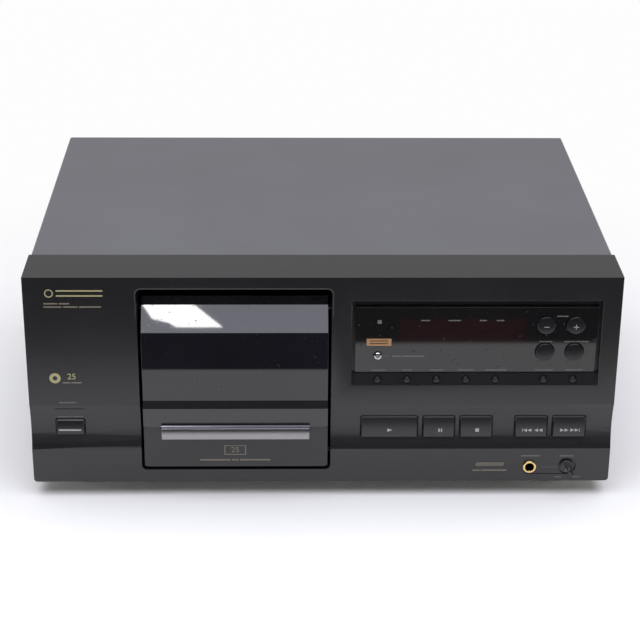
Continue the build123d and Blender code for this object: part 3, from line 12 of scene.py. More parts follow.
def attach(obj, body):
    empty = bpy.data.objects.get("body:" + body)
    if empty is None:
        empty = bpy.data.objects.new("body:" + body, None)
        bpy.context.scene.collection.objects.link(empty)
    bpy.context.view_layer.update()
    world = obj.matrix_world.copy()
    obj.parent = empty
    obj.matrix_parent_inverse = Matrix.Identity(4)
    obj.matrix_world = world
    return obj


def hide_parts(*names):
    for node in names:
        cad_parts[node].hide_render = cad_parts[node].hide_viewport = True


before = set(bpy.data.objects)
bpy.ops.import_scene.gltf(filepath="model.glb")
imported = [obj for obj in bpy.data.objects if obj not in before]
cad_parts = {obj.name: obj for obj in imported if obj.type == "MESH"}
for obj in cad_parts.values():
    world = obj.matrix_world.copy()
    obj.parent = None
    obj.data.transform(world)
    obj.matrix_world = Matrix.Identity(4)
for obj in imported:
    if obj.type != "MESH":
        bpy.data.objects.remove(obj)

log = logging.getLogger("changer")

# Millimetres in metres, and the fascia's face and the casing's underside in millimetres of the frame.
MM = 0.001
FACE_Y = -152.1
SKIRT_Z = 12.0
# The ending of the name of a piece that stands for a CAD node.
SHAPED = "_shaped"
QUARTER = math.pi / 2
Colour = tuple[float, float, float]
Corners = tuple[tuple[float, float], ...]
Socket = bpy.types.NodeSocket
Tree = bpy.types.NodeTree
Work = bmesh.types.BMesh


def add_node(tree: Tree, kind: str, inputs: dict | None = None, **settings: object) -> bpy.types.Node:
    """Adds a shader node.

    Args:
        tree: the node tree.
        kind: the node's kind, without its ShaderNode prefix.
        inputs: for each input, its value or the socket that feeds it.
        settings: the node's own settings.

    Returns:
        The node.
    """
    node = tree.nodes.new("ShaderNode" + kind)
    for name, value in settings.items():
        setattr(node, name, value)
    for name, value in (inputs or {}).items():
        if isinstance(value, Socket):
            tree.links.new(value, node.inputs[name])
        else:
            node.inputs[name].default_value = value
    return node


def link_new(name: str, data: bpy.types.ID) -> bpy.types.Object:
    """Puts new data into the scene.

    Args:
        name: the object's name.
        data: the object's data.

    Returns:
        The object.
    """
    item = bpy.data.objects.new(name, data)
    bpy.context.scene.collection.objects.link(item)
    return item


def to_mesh(work: Work, name: str) -> bpy.types.Mesh:
    """Turns a worked mesh into a mesh and frees it.

    Args:
        work: the worked mesh.
        name: the new mesh's name.

    Returns:
        The mesh.
    """
    data = bpy.data.meshes.new(name)
    work.to_mesh(data)
    work.free()
    return data


class Pattern(Enum):
    """The kinds of surface detail that a finish may have."""

    GRAIN = "fine moulded grain"
    BRUSHED = "lines drawn one way"
    SPANGLE = "zinc crystals"
    STACKED = "stacked sheets"
    TRACKS = "copper tracks under lacquer"
    DUSTED = "polish with a little dust"


@dataclass(frozen=True)
class Finish:
    """One surface finish, made of shader nodes on Object coordinates."""

    name: str
    colour: Colour
    pattern: Pattern = Pattern.GRAIN
    roughness: float = 0.35
    metallic: float = 0.0
    specular: float = 0.5
    coat: float = 0.0
    scale: float = 900.0
    mottle: float = 0.12
    relief: float = 0.08
    depth: float = 0.00004
    turn: tuple[float, float, float] = (0.0, 0.0, 0.0)
    stretch: tuple[float, float, float] = (1.0, 1.0, 1.0)
    alpha: float = 1.0

    def material(self) -> bpy.types.Material:
        """Gives the finish's material, made once.

        Returns:
            The material with its node tree.
        """
        known = bpy.data.materials.get(self.name)
        if known:
            return known
        material = bpy.data.materials.new(self.name)
        material.use_nodes = True
        tree = material.node_tree
        shader = tree.nodes["Principled BSDF"]
        for name, value in (("Metallic", self.metallic), ("Specular IOR Level", self.specular),
                            ("Coat Weight", self.coat), ("Coat Roughness", 0.06), ("Alpha", self.alpha)):
            shader.inputs[name].default_value = value
        place = self._place(tree)
        fine = self._fine(tree, place)
        broad = self._noise(tree, place, 14.0, 2.0)
        self._colour(tree, fine, broad, shader)
        self._roughness(tree, fine, broad, shader)
        self._relief(tree, fine, shader)
        return material

    def _place(self, tree: Tree) -> Socket:
        """Adds the coordinates that the pattern follows.

        Args:
            tree: the material's node tree.

        Returns:
            The socket with the mapped Object coordinates.
        """
        where = add_node(tree, "TexCoord").outputs["Object"]
        mapping = add_node(tree, "Mapping", {"Vector": where, "Rotation": self.turn, "Scale": self.stretch})
        return mapping.outputs["Vector"]

    def _noise(self, tree: Tree, place: Socket, scale: float, detail: float) -> Socket:
        """Adds one noise texture.

        Args:
            tree: the material's node tree.
            place: the coordinates.
            scale: the noise's scale per metre.
            detail: the noise's detail.

        Returns:
            The socket with the noise from 0 to 1.
        """
        return add_node(tree, "TexNoise", {"Vector": place, "Scale": scale, "Detail": detail}).outputs["Fac"]

    def _fine(self, tree: Tree, place: Socket) -> Socket:
        """Adds the small pattern that the finish is named for.

        Args:
            tree: the material's node tree.
            place: the coordinates.

        Returns:
            The socket with the pattern from 0 to 1.
        """
        if self.pattern is Pattern.SPANGLE:
            cells = add_node(tree, "TexVoronoi", {"Vector": place, "Scale": self.scale})
            return add_node(tree, "RGBToBW", {"Color": cells.outputs["Color"]}).outputs["Val"]
        if self.pattern is Pattern.STACKED:
            wave = add_node(tree, "TexWave", {"Vector": place, "Scale": self.scale, "Distortion": 0.6},
                            bands_direction="Z")
            return wave.outputs["Fac"]
        if self.pattern is Pattern.TRACKS:
            shades = {"Color1": (0.3, 0.3, 0.3, 1), "Color2": (0.45, 0.45, 0.45, 1), "Mortar": (1, 1, 1, 1)}
            bricks = add_node(tree, "TexBrick", {"Vector": place, "Scale": self.scale, "Mortar Size": 0.06, **shades})
            return add_node(tree, "RGBToBW", {"Color": bricks.outputs["Color"]}).outputs["Val"]
        if self.pattern is Pattern.DUSTED:
            specks = self._noise(tree, place, self.scale, 1.0)
            return self._range(tree, specks, 0.7, 0.78, 0.0, 1.0)
        return self._noise(tree, place, self.scale, 3.0)

    def _range(self, tree: Tree, value: Socket, low: float, high: float, to_low: float, to_high: float) -> Socket:
        """Adds a range change.

        Args:
            tree: the material's node tree.
            value: the socket to change.
            low: the value that becomes to_low.
            high: the value that becomes to_high.
            to_low: the new low value.
            to_high: the new high value.

        Returns:
            The socket with the changed value.
        """
        change = add_node(tree, "MapRange", {"Value": value, "From Min": low, "From Max": high, "To Min": to_low,
                                             "To Max": to_high})
        return change.outputs["Result"]

    def _colour(self, tree: Tree, fine: Socket, broad: Socket, shader: bpy.types.Node) -> None:
        """Colours the finish with its small pattern and a slow drift over the piece.

        Args:
            tree: the material's node tree.
            fine: the small pattern.
            broad: the slow drift.
            shader: the Principled node.
        """
        drift = self._range(tree, broad, 0.3, 0.7, 0.0, 0.5)
        blend = add_node(tree, "Math", {0: fine, 1: 0.5, 2: drift}, operation="MULTIPLY_ADD")
        ramp = add_node(tree, "ValToRGB", {"Fac": blend.outputs["Value"]})
        for element, share in zip(ramp.color_ramp.elements, (1 - self.mottle, 1 + self.mottle)):
            element.color = (*(min(c * share, 1.0) for c in self.colour), 1)
        tree.links.new(ramp.outputs["Color"], shader.inputs["Base Color"])

    def _roughness(self, tree: Tree, fine: Socket, broad: Socket, shader: bpy.types.Node) -> None:
        """Lets the gloss vary: dust dulls a polish, and handling changes a satin face.

        Args:
            tree: the material's node tree.
            fine: the small pattern.
            broad: the slow drift.
            shader: the Principled node.
        """
        dusted = self.pattern is Pattern.DUSTED
        source, spread, low, high = (fine, 0.35, 0.0, 1.0) if dusted else (broad, 0.04, 0.3, 0.7)
        value = self._range(tree, source, low, high, self.roughness, self.roughness + spread)
        tree.links.new(value, shader.inputs["Roughness"])

    def _relief(self, tree: Tree, fine: Socket, shader: bpy.types.Node) -> None:
        """Raises the small pattern as a bump.

        Args:
            tree: the material's node tree.
            fine: the small pattern.
            shader: the Principled node.
        """
        bump = add_node(tree, "Bump", {"Height": fine, "Strength": self.relief, "Distance": self.depth})
        tree.links.new(bump.outputs["Normal"], shader.inputs["Normal"])


COVER_PAINT = Finish("satin grey paint", (0.105, 0.105, 0.112), roughness=0.3, scale=1600, relief=0.12)
FASCIA = Finish("satin black moulding", (0.0138, 0.0136, 0.0142), roughness=0.25, specular=0.6, scale=2200,
                relief=0.05)
RAIL = Finish("glossier door moulding", (0.0135, 0.0132, 0.0138), roughness=0.15, specular=0.82, scale=2200,
              relief=0.04)
KEYS = Finish("satin key moulding", (0.0135, 0.0132, 0.0138), roughness=0.22, specular=0.6, scale=2000, relief=0.05)
ROUND_KEYS = Finish("round key moulding", (0.011, 0.011, 0.0115), roughness=0.24, specular=0.45, scale=2000,
                    relief=0.05)
PANE = Finish("smoked pane", (0.0085, 0.0083, 0.0115), Pattern.DUSTED, roughness=0.02, specular=0.75, scale=420,
              mottle=0.25, relief=0.02)
DISPLAY_PANE = Finish("smoked display pane", (0.0085, 0.0078, 0.0078), Pattern.DUSTED, roughness=0.05, specular=0.7,
                      scale=420, mottle=0.25, relief=0.02)
HANDLE = Finish("anodised handle", (0.33, 0.315, 0.325), Pattern.BRUSHED, roughness=0.27, metallic=1.0, scale=900,
                mottle=0.1, stretch=(0.02, 1.0, 1.0))
LIP = Finish("polished dark lip", (0.06, 0.058, 0.066), Pattern.BRUSHED, roughness=0.08, metallic=1.0, scale=900,
             mottle=0.1, stretch=(0.02, 1.0, 1.0))
ZINC = Finish("zinc plated sheet", (0.6, 0.6, 0.6), Pattern.SPANGLE, roughness=0.36, metallic=1.0, scale=160,
              mottle=0.14, relief=0.05)
REAR_PAINT = Finish("rear panel paint", (0.055, 0.055, 0.058), roughness=0.4, scale=1500, relief=0.12)
CHROME = Finish("bright plating", (0.86, 0.86, 0.85), roughness=0.12, metallic=1.0, scale=1400, mottle=0.04)
SCREWS = Finish("plated screws", (0.5, 0.5, 0.49), Pattern.BRUSHED, roughness=0.3, metallic=1.0, scale=1400)
STEEL = Finish("ground steel", (0.62, 0.62, 0.61), Pattern.BRUSHED, roughness=0.2, metallic=1.0, scale=1500,
               stretch=(1.0, 1.0, 0.03))
MOTOR = Finish("motor can", (0.5, 0.5, 0.5), Pattern.BRUSHED, roughness=0.3, metallic=1.0, scale=1200,
               stretch=(1.0, 1.0, 0.03))
GOLD = Finish("gold plating", (0.83, 0.6, 0.25), roughness=0.16, metallic=1.0, scale=1400, mottle=0.06)
SOCKET = Finish("socket moulding", (0.016, 0.016, 0.016), roughness=0.45, scale=1500)
BOARD = Finish("lacquered board", (0.04, 0.13, 0.06), Pattern.TRACKS, roughness=0.3, scale=70, mottle=0.5,
               relief=0.2, coat=0.4)
UPRIGHT_BOARD = Finish("lacquered upright board", (0.04, 0.13, 0.06), Pattern.TRACKS, roughness=0.3, scale=70,
                       mottle=0.5, relief=0.2, coat=0.4, turn=(QUARTER, 0.0, 0.0))
TUBE = Finish("display tube", (0.045, 0.012, 0.012), Pattern.DUSTED, roughness=0.08, scale=300)
LENS = Finish("lamp lens", (0.018, 0.008, 0.008), roughness=0.14, specular=0.6, scale=1500)
FEET = Finish("grey foot moulding", (0.5, 0.5, 0.49), roughness=0.4, scale=1200)
RUBBER = Finish("rubber", (0.02, 0.02, 0.02), roughness=0.7, scale=1600, relief=0.3)
RACK = Finish("rack moulding", (0.022, 0.022, 0.022), roughness=0.42, scale=1300, relief=0.15)
NYLON = Finish("natural nylon", (0.72, 0.71, 0.66), roughness=0.42, scale=1100, mottle=0.06)
IRON = Finish("varnished iron", (0.12, 0.1, 0.085), Pattern.STACKED, roughness=0.35, scale=320, mottle=0.5,
              relief=0.3, coat=0.3)
KNOB = Finish("knob moulding", (0.026, 0.026, 0.027), roughness=0.34, scale=1500)
PALE_INK = Finish("pale print", (0.13, 0.13, 0.126), roughness=0.5, scale=2500, mottle=0.18, relief=0.0)
BRIGHT_INK = Finish("bright print", (0.34, 0.34, 0.335), roughness=0.5, scale=2500, mottle=0.12, relief=0.0)
GOLD_INK = Finish("gold print", (0.36, 0.33, 0.16), roughness=0.45, scale=2500, mottle=0.15, relief=0.0)
BRONZE_INK = Finish("bronze print", (0.22, 0.19, 0.14), roughness=0.45, scale=2500, mottle=0.2, relief=0.0)
COPPER = Finish("copper badge", (0.42, 0.22, 0.1), Pattern.BRUSHED, roughness=0.4, metallic=0.3, scale=1500,
                stretch=(0.05, 1.0, 1.0))
BADGE_INK = Finish("badge print", (0.02, 0.015, 0.012), roughness=0.5, scale=2500, relief=0.0)
RED_GLOW = Finish("filter over the tube", (0.0165, 0.0075, 0.0075), Pattern.DUSTED, roughness=0.05, specular=0.7,
                  scale=420, mottle=0.3, relief=0.02)


def spot(x: float, depth: float, height: float) -> Vector:
    """Turns a place on the fascia into the frame's metres.

    Args:
        x: millimetres to the right of the middle.
        depth: millimetres behind the fascia's face.
        height: millimetres above the casing's underside.

    Returns:
        The point in metres.
    """
    return Vector((x, FACE_Y + depth, SKIRT_Z + height)) * MM


def wear(finish: Finish, *nodes: str) -> None:
    """Gives CAD nodes a finish.

    Args:
        finish: the finish to show.
        nodes: the nodes' names.
    """
    for name in nodes:
        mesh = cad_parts[name].data
        mesh.materials.clear()
        mesh.materials.append(finish.material())
        log.info("%s wears %s", name, finish.name)


def enter(mesh: Work, name: str, finish: Finish, body: str) -> bpy.types.Object:
    """Turns a worked mesh into a piece that rides on a body.

    Args:
        mesh: the worked mesh, in the frame's metres. It is freed.
        name: the piece's name.
        finish: the piece's finish.
        body: the CAD body that carries it.

    Returns:
        The new object.
    """
    piece = link_new(name, to_mesh(mesh, name))
    piece.data.materials.append(finish.material())
    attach(piece, body)
    log.info("built %s", name)
    return piece


@dataclass
class Eased:
    """A CAD node's copy whose sharp edges are eased, as moulding and stamping leave them."""

    node: str
    body: str
    finish: Finish
    slot: str
    ease: float = 0.3
    angle: float = 32.0
    segments: int = 2

    def source(self) -> Work:
        """Copies the node and merges its flat faces.

        Returns:
            The mesh to work on.
        """
        work = bmesh.new()
        work.from_mesh(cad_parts[self.node].data)
        bmesh.ops.remove_doubles(work, verts=work.verts, dist=2e-6)
        bmesh.ops.dissolve_limit(work, angle_limit=math.radians(0.3), verts=work.verts, edges=work.edges)
        return work

    def shape(self, work: Work) -> None:
        """Works the copy further. A plain piece is left as it is.

        Args:
            work: the mesh.
        """

    def build(self) -> bpy.types.Object:
        """Makes the piece and eases its edges.

        Returns:
            The object that stands for the node.
        """
        work = self.source()
        self.shape(work)
        for face in work.faces:
            face.smooth = True
        piece = enter(work, self.node + SHAPED, self.finish, self.body)
        piece.data.set_sharp_from_angle(angle=math.radians(self.angle))
        bevel = piece.modifiers.new("ease", "BEVEL")
        bevel.width = self.ease * MM
        bevel.segments = self.segments
        bevel.limit_method = "ANGLE"
        bevel.angle_limit = math.radians(self.angle)
        bevel.miter_outer = "MITER_ARC"
        even = piece.modifiers.new("even shading", "WEIGHTED_NORMAL")
        even.keep_sharp = True
        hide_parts(self.node)
        return piece


def placed(vert: bmesh.types.BMVert) -> tuple[float, float, float]:
    """Tells where a vertex is on the fascia.

    Args:
        vert: the vertex, in the frame's metres.

    Returns:
        Its x, its depth behind the fascia's face and its height, in millimetres.
    """
    return vert.co.x / MM, vert.co.y / MM - FACE_Y, vert.co.z / MM - SKIRT_Z


def sliced(work: Work, heights: tuple[float, ...]) -> None:
    """Cuts level lines round a mesh.

    Args:
        work: the mesh.
        heights: the lines' heights above the casing's underside.
    """
    for height in heights:
        geom = work.verts[:] + work.edges[:] + work.faces[:]
        bmesh.ops.bisect_plane(work, geom=geom, dist=1e-7, plane_co=spot(0, 0, height), plane_no=(0, 0, 1))


def rounded(work: Work, edges: list[bmesh.types.BMEdge], width: float, segments: int) -> None:
    """Rounds chosen edges.

    Args:
        work: the mesh.
        edges: the edges.
        width: the round's width in millimetres.
        segments: its number of facets.
    """
    corners = list({vert for edge in edges for vert in edge.verts})
    bmesh.ops.bevel(work, geom=edges + corners, offset=width * MM, segments=segments, profile=0.5, affect="EDGES",
                    material=-1, clamp_overlap=True)


@dataclass
class FasciaMoulding(Eased):
    """The moulded front, with softly rounded rims at the door's opening and the display's recess."""

    door_rim: float = 2.2
    door_span: tuple[float, float] = (-131.5, 6.5)
    door_heights: tuple[float, float] = (131.5, 152.3)
    sill_rim: float = 1.0
    sill_heights: tuple[float, float] = (9.4, 10.4)
    recess_rim: float = 0.7
    recess_span: tuple[float, float] = (20.0, 197.3)
    recess_heights: tuple[float, float] = (77.0, 144.5)

    def shape(self, work: Work) -> None:
        """Rounds the two rims.

        Args:
            work: the mesh.
        """
        sliced(work, (self.door_heights[0] + 0.5,))
        rounded(work, self.rim(work, self.door_span, self.door_heights), self.door_rim, 5)
        rounded(work, self.rim(work, self.door_span, self.sill_heights), self.sill_rim, 3)
        rounded(work, self.rim(work, self.recess_span, self.recess_heights), self.recess_rim, 3)

    def rim(self, work: Work, span: tuple[float, float], heights: tuple[float, float]) -> list:
        """Finds the edges where the flat front turns inwards.

        Args:
            work: the mesh.
            span: the least and the greatest x.
            heights: the least and the greatest height.

        Returns:
            The edges.
        """
        found = []
        for edge in work.edges:
            ends = [placed(vert) for vert in edge.verts]
            inside = all(span[0] < x < span[1] and heights[0] < z < heights[1] for x, _, z in ends)
            if inside and all(abs(depth) < 0.02 for _, depth, _ in ends):
                if any(abs(face.normal.y) < 0.5 for face in edge.link_faces):
                    found.append(edge)
        return found


@dataclass
class HoodPart(Eased):
    """A piece of the door, spread a little so that it fills the opening as closely as the real one does."""

    middle: float = -62.5
    half_width: float = 65.2
    spread: float = 1.1
    arm_tip: tuple[float, float] = (16.82, 131.68)
    arm_seat: tuple[float, float] = (19.74, 138.97)

    def shape(self, work: Work) -> None:
        """Moves the two side faces outwards and the arms' tips up to the sloping pane.

        Args:
            work: the mesh.
        """
        for vert in work.verts:
            x, depth, height = placed(vert)
            if abs(abs(x - self.middle) - self.half_width) < 0.05:
                x += math.copysign(self.spread, x - self.middle)
            if abs(depth - self.arm_tip[0]) < 0.1 and abs(height - self.arm_tip[1]) < 0.1:
                depth, height = self.arm_seat
            vert.co = spot(x, depth, height)


@dataclass
class TrimPanel(HoodPart):
    """The door's lower panel, whose bottom edge is rounded under."""

    foot: float = 12.5
    foot_round: float = 2.3

    def shape(self, work: Work) -> None:
        """Spreads the panel and rounds its bottom edge.

        Args:
            work: the mesh.
        """
        super().shape(work)
        edges = []
        for edge in work.edges:
            ends = [placed(vert) for vert in edge.verts]
            if all(abs(depth) < 0.02 and abs(height - self.foot) < 0.05 for _, depth, height in ends):
                edges.append(edge)
        rounded(work, edges, self.foot_round, 6)


@dataclass
class Extruded(Eased):
    """A piece with one side section all along its width."""

    section: Corners = ()
    left: float = 0.0
    right: float = 0.0

    def source(self) -> Work:
        """Draws the section and carries it across.

        Returns:
            The mesh to work on.
        """
        work = bmesh.new()
        self.run(work, self.section, self.left, self.right)
        return work

    def run(self, work: Work, section: Corners, left: float, right: float) -> None:
        """Adds one length of a section.

        Args:
            work: the mesh.
            section: the section's corners as depth and height.
            left: where the length starts.
            right: where it ends.
        """
        face = work.faces.new([work.verts.new(spot(left, *corner)) for corner in section])
        made = bmesh.ops.extrude_face_region(work, geom=[face])["geom"]
        moved = [part for part in made if isinstance(part, bmesh.types.BMVert)]
        bmesh.ops.translate(work, verts=moved, vec=((right - left) * MM, 0.0, 0.0))
        bmesh.ops.recalc_face_normals(work, faces=work.faces)


@dataclass
class Handle(Extruded):
    """The handle bar: a folded metal strip, closed at both ends. Its lip is a piece of its own."""

    end_section: Corners = ((-7.0, 38.6), (-2.05, 38.6), (-2.05, 46.4), (-7.0, 46.4))
    end_thickness: float = 2.5

    def source(self) -> Work:
        """Draws the bar and its two ends.

        Returns:
            The mesh to work on.
        """
        work = super().source()
        self.run(work, self.end_section, self.left + 0.1, self.left + self.end_thickness)
        self.run(work, self.end_section, self.right - self.end_thickness, self.right - 0.1)
        return work


@dataclass
class LeaningPane(Eased):
    """The display's pane, whose front leans back towards its foot."""

    front_limit: float = 4.5
    brow_depth: float = 4.6
    top: float = 138.9
    height: float = 52.5
    top_shift: float = -1.1
    foot_shift: float = 1.0

    def shape(self, work: Work) -> None:
        """Leans the front.

        Args:
            work: the mesh.
        """
        for vert in work.verts:
            x, depth, height = placed(vert)
            if depth >= self.front_limit:
                continue
            share = (self.top - height) / self.height
            depth += self.top_shift + (self.foot_shift - self.top_shift) * share
            vert.co = spot(x, self.brow_depth if height > self.top - 0.05 else depth, height)


@dataclass
class CrownedKey(Eased):
    """A wide key whose face curves back towards its top."""

    low: float = 35.5
    high: float = 52.2
    front_limit: float = 2.1
    foot_shift: float = -0.85
    crown: float = 1.5
    lines: int = 8

    def shape(self, work: Work) -> None:
        """Curves the face.

        Args:
            work: the mesh.
        """
        rise = self.high - self.low
        sliced(work, tuple(self.low + rise * line / self.lines for line in range(1, self.lines)))
        for vert in work.verts:
            x, depth, height = placed(vert)
            if depth < self.front_limit:
                share = (height - self.low) / rise
                vert.co = spot(x, depth + self.foot_shift + self.crown * share * share, height)


@dataclass
class DomedKey(Eased):
    """A round key whose face rises towards its middle."""

    ring_width: float = 1.1
    rises: tuple[float, ...] = (0.13, 0.09, 0.05, 0.02)

    def shape(self, work: Work) -> None:
        """Raises the face in rings.

        Args:
            work: the mesh.
        """
        facing = [face for face in work.faces if face.normal.y < -0.99]
        face = min(facing, key=lambda one: (round(one.calc_center_median().y, 5), -one.calc_area()))
        for rise in self.rises:
            bmesh.ops.inset_individual(work, faces=[face], thickness=self.ring_width * MM, depth=rise * MM,
                                       use_even_offset=True)


@dataclass
class FinKnob(Eased):
    """The small level knob: a nearly flush disc with a thin fin to turn it by."""

    x: float = 179.0
    height: float = 12.1
    radius: float = 5.0
    back: float = 1.1
    disc_front: float = -1.1
    fin_front: float = -9.0
    fin_thickness: float = 1.6
    fin_reach: tuple[float, float] = (-1.2, 5.2)
    fin_turn: float = -45.0

    def source(self) -> Work:
        """Turns the disc and raises the fin from it.

        Returns:
            The mesh to work on.
        """
        work = bmesh.new()
        depth = (self.back + self.disc_front) / 2
        lie = Matrix.Translation(spot(self.x, depth, self.height)) @ Matrix.Rotation(QUARTER, 4, "X")
        bmesh.ops.create_cone(work, cap_ends=True, segments=64, radius1=self.radius * MM, radius2=self.radius * MM,
                              depth=(self.back - self.disc_front) * MM, matrix=lie)
        length = self.fin_reach[1] - self.fin_reach[0]
        size = Vector((length, self.back - self.fin_front - 0.4, self.fin_thickness)) * MM
        turn = Matrix.Rotation(-math.radians(self.fin_turn), 4, "Y")
        shift = Matrix.Translation((sum(self.fin_reach) / 2 * MM, 0.0, 0.0))
        middle = (self.back - 0.4 + self.fin_front) / 2
        place = Matrix.Translation(spot(self.x, middle, self.height)) @ turn @ shift
        bmesh.ops.create_cube(work, size=1.0, matrix=place @ Matrix.Diagonal((*size, 1.0)))
        return work


@dataclass
class Print:
    """Print on the front of a CAD node, drawn in the fascia's millimetres and laid on its face."""

    name: str
    node: str
    body: str
    finish: Finish
    slot: str
    lift: float = 0.02
    thickness: float = 0.05
    work: Work = field(default_factory=bmesh.new)

    def bar(self, x0: float, x1: float, z0: float, z1: float, lean: float = 0.0) -> "Print":
        """Draws a bar.

        Args:
            x0: its left side.
            x1: its right side.
            z0: its lower side.
            z1: its upper side.
            lean: how far its top leans to the right, in degrees.

        Returns:
            The print, for the next stroke.
        """
        lie = Matrix.Rotation(QUARTER, 4, "X") @ Matrix.Diagonal((x1 - x0, z1 - z0, 1.0, 1.0))
        slant = Matrix.Identity(4)
        slant[0][2] = math.tan(math.radians(lean))
        place = Matrix.Translation(((x0 + x1) / 2, 0.0, (z0 + z1) / 2)) @ slant @ lie
        along = max(1, round((x1 - x0) / 6))
        up = max(1, round((z1 - z0) / 2))
        bmesh.ops.create_grid(self.work, x_segments=along, y_segments=up, size=0.5, matrix=place)
        return self

    def words(self, x0: float, x1: float, z: float, height: float, parts: tuple[float, ...] = (1.0,),
              lean: float = 0.0) -> "Print":
        """Draws a plain label: short strokes in groups, with no letters.

        Args:
            x0: the label's left end.
            x1: its right end.
            z: its middle height.
            height: its height.
            parts: the groups' shares of its length.
            lean: the strokes' lean in degrees.

        Returns:
            The print, for the next stroke.
        """
        gap = height * 0.9
        room = (x1 - x0) - gap * (len(parts) - 1)
        start = x0
        for share in parts:
            length = room * share / sum(parts)
            strokes = max(1, round(length / (height * 1.05)))
            step = length / strokes
            for index in range(strokes):
                left = start + index * step
                tall = height * (1.0, 0.86, 0.94)[index % 3]
                self.bar(left, left + step * 0.8, z - tall / 2, z + tall / 2, lean)
            start += length + gap
        return self

    def dart(self, x0: float, x1: float, z0: float, z1: float) -> "Print":
        """Draws a triangle that points from x0 to x1.

        Args:
            x0: where its base is.
            x1: where its tip is.
            z0: its lower side.
            z1: its upper side.

        Returns:
            The print, for the next stroke.
        """
        corners = ((x0, z0), (x0, z1), (x1, (z0 + z1) / 2))
        self.work.faces.new([self.work.verts.new((x, 0.0, z)) for x, z in corners])
        return self

    def ring(self, x: float, z: float, outer: float, inner: float) -> "Print":
        """Draws a ring.

        Args:
            x: its middle.
            z: its middle height.
            outer: its outer radius.
            inner: its inner radius.

        Returns:
            The print, for the next stroke.
        """
        place = Matrix.Translation((x, 0.0, z)) @ Matrix.Rotation(QUARTER, 4, "X")
        edges = []
        for radius in (outer, inner):
            made = bmesh.ops.create_circle(self.work, segments=40, radius=radius, matrix=place)
            edges += list({edge for vert in made["verts"] for edge in vert.link_edges})
        bmesh.ops.bridge_loops(self.work, edges=edges)
        return self

    def figures(self, text: str, x: float, z: float, size: float) -> "Print":
        """Draws plain figures.

        Args:
            text: the figures.
            x: their middle.
            z: their middle height.
            size: the font's size.

        Returns:
            The print, for the next stroke.
        """
        curve = bpy.data.curves.new(self.name + "_figures", "FONT")
        curve.body = text
        curve.size = size
        curve.resolution_u = 4
        curve.align_x = "CENTER"
        curve.align_y = "CENTER"
        writer = link_new(self.name + "_figures", curve)
        seen = writer.evaluated_get(bpy.context.evaluated_depsgraph_get())
        flat = bpy.data.meshes.new_from_object(seen)
        flat.transform(Matrix.Translation((x, 0.0, z)) @ Matrix.Rotation(QUARTER, 4, "X"))
        self.work.from_mesh(flat)
        bpy.data.objects.remove(writer)
        bpy.data.meshes.remove(flat)
        return self

    def press(self) -> bpy.types.Object:
        """Lays the drawing on the node's face and gives it its thickness.

        Returns:
            The print as a piece.
        """
        shaped = bpy.data.objects.get(self.node + SHAPED)
        source = shaped.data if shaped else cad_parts[self.node].data
        tree = BVHTree.FromPolygons([v.co for v in source.vertices], [p.vertices[:] for p in source.polygons])
        for vert in self.work.verts:
            start = spot(vert.co.x, -60.0, vert.co.z)
            hit = tree.ray_cast(start, Vector((0.0, 1.0, 0.0)))[0]
            vert.co = Vector((start.x, hit.y - self.lift * MM, start.z))
        bmesh.ops.recalc_face_normals(self.work, faces=self.work.faces)
        bmesh.ops.solidify(self.work, geom=self.work.faces[:], thickness=self.thickness * MM)
        bmesh.ops.recalc_face_normals(self.work, faces=self.work.faces)
        return enter(self.work, self.name, self.finish, self.body)


@dataclass
class Casing:
    """Cover, pan, back, feet and the screws that hold them."""

    cover_ease: float = 0.35
    foot_ease: float = 0.5

    def build(self) -> None:
        """Eases the cover and the feet and dresses the rest."""
        Eased("top_cover", "root", COVER_PAINT, "cover_paint", self.cover_ease).build()
        Eased("feet", "root", FEET, "foot_plastic", self.foot_ease).build()
        wear(RUBBER, "foot_pads", "cord_gland")
        wear(SCREWS, "foot_screws", "cabinet_screws")
        wear(ZINC, "chassis_pan")
        wear(REAR_PAINT, "rear_panel")


@dataclass
class Fascia:
    """The moulded front with its prints and its lamp lens."""

    ease: float = 0.45

    def build(self) -> None:
        """Builds the front and its prints."""
        FasciaMoulding("front_panel", "root", FASCIA, "fascia_black", self.ease).build()
        Eased("standby_lens", "root", LENS, "lens_red", 0.12).build()
        self.name_place()
        self.labels()

    def name_place(self) -> None:
        """Lays a plain double rule where a name would be, and a ring with figures below it."""
        rule = Print("fascia_rule", "front_panel", "root", GOLD_INK, "gold")
        rule.bar(-186.6, -154.1, 151.2, 152.3).bar(-186.6, -154.1, 147.4, 148.5)
        rule.ring(-191.6, 149.8, 3.1, 2.3).press()
        notes = Print("fascia_notes", "front_panel", "root", BRONZE_INK, "gold")
        notes.words(-195.5, -177.3, 142.0, 1.1, (4, 3)).words(-195.6, -155.4, 139.5, 1.1, (5, 4, 6)).press()
        disc = Print("fascia_disc", "front_panel", "root", GOLD_INK, "gold")
        disc.ring(-190.5, 84.1, 4.0, 1.7).figures("25", -178.6, 85.2, 6.4).press()
        tail = Print("fascia_disc_note", "front_panel", "root", BRONZE_INK, "gold")
        tail.words(-185.2, -171.6, 80.5, 0.9, (3, 4)).press()

    def labels(self) -> None:
        """Lays the small pale labels round the lamp, the power key, the jack and the knob."""
        labels = Print("fascia_labels", "front_panel", "root", PALE_INK, "key_black")
        labels.words(-188.4, -176.2, 64.7, 1.0).words(-190.4, -172.4, 51.9, 1.0, (4, 3))
        labels.words(145.2, 159.0, 20.6, 1.1).words(173.4, 183.6, 20.5, 1.1)
        labels.words(170.5, 175.5, 3.1, 1.0).words(183.6, 189.3, 3.1, 1.0)
        labels.bar(159.9, 172.0, 11.0, 11.25).press()
        slogan = Print("fascia_stripes", "front_panel", "root", BRONZE_INK, "gold")
        slogan.bar(112.6, 133.0, 14.3, 15.0, 12).bar(112.2, 132.6, 12.7, 13.4, 12)
        slogan.words(110.2, 135.2, 8.8, 1.0, (2, 7)).press()


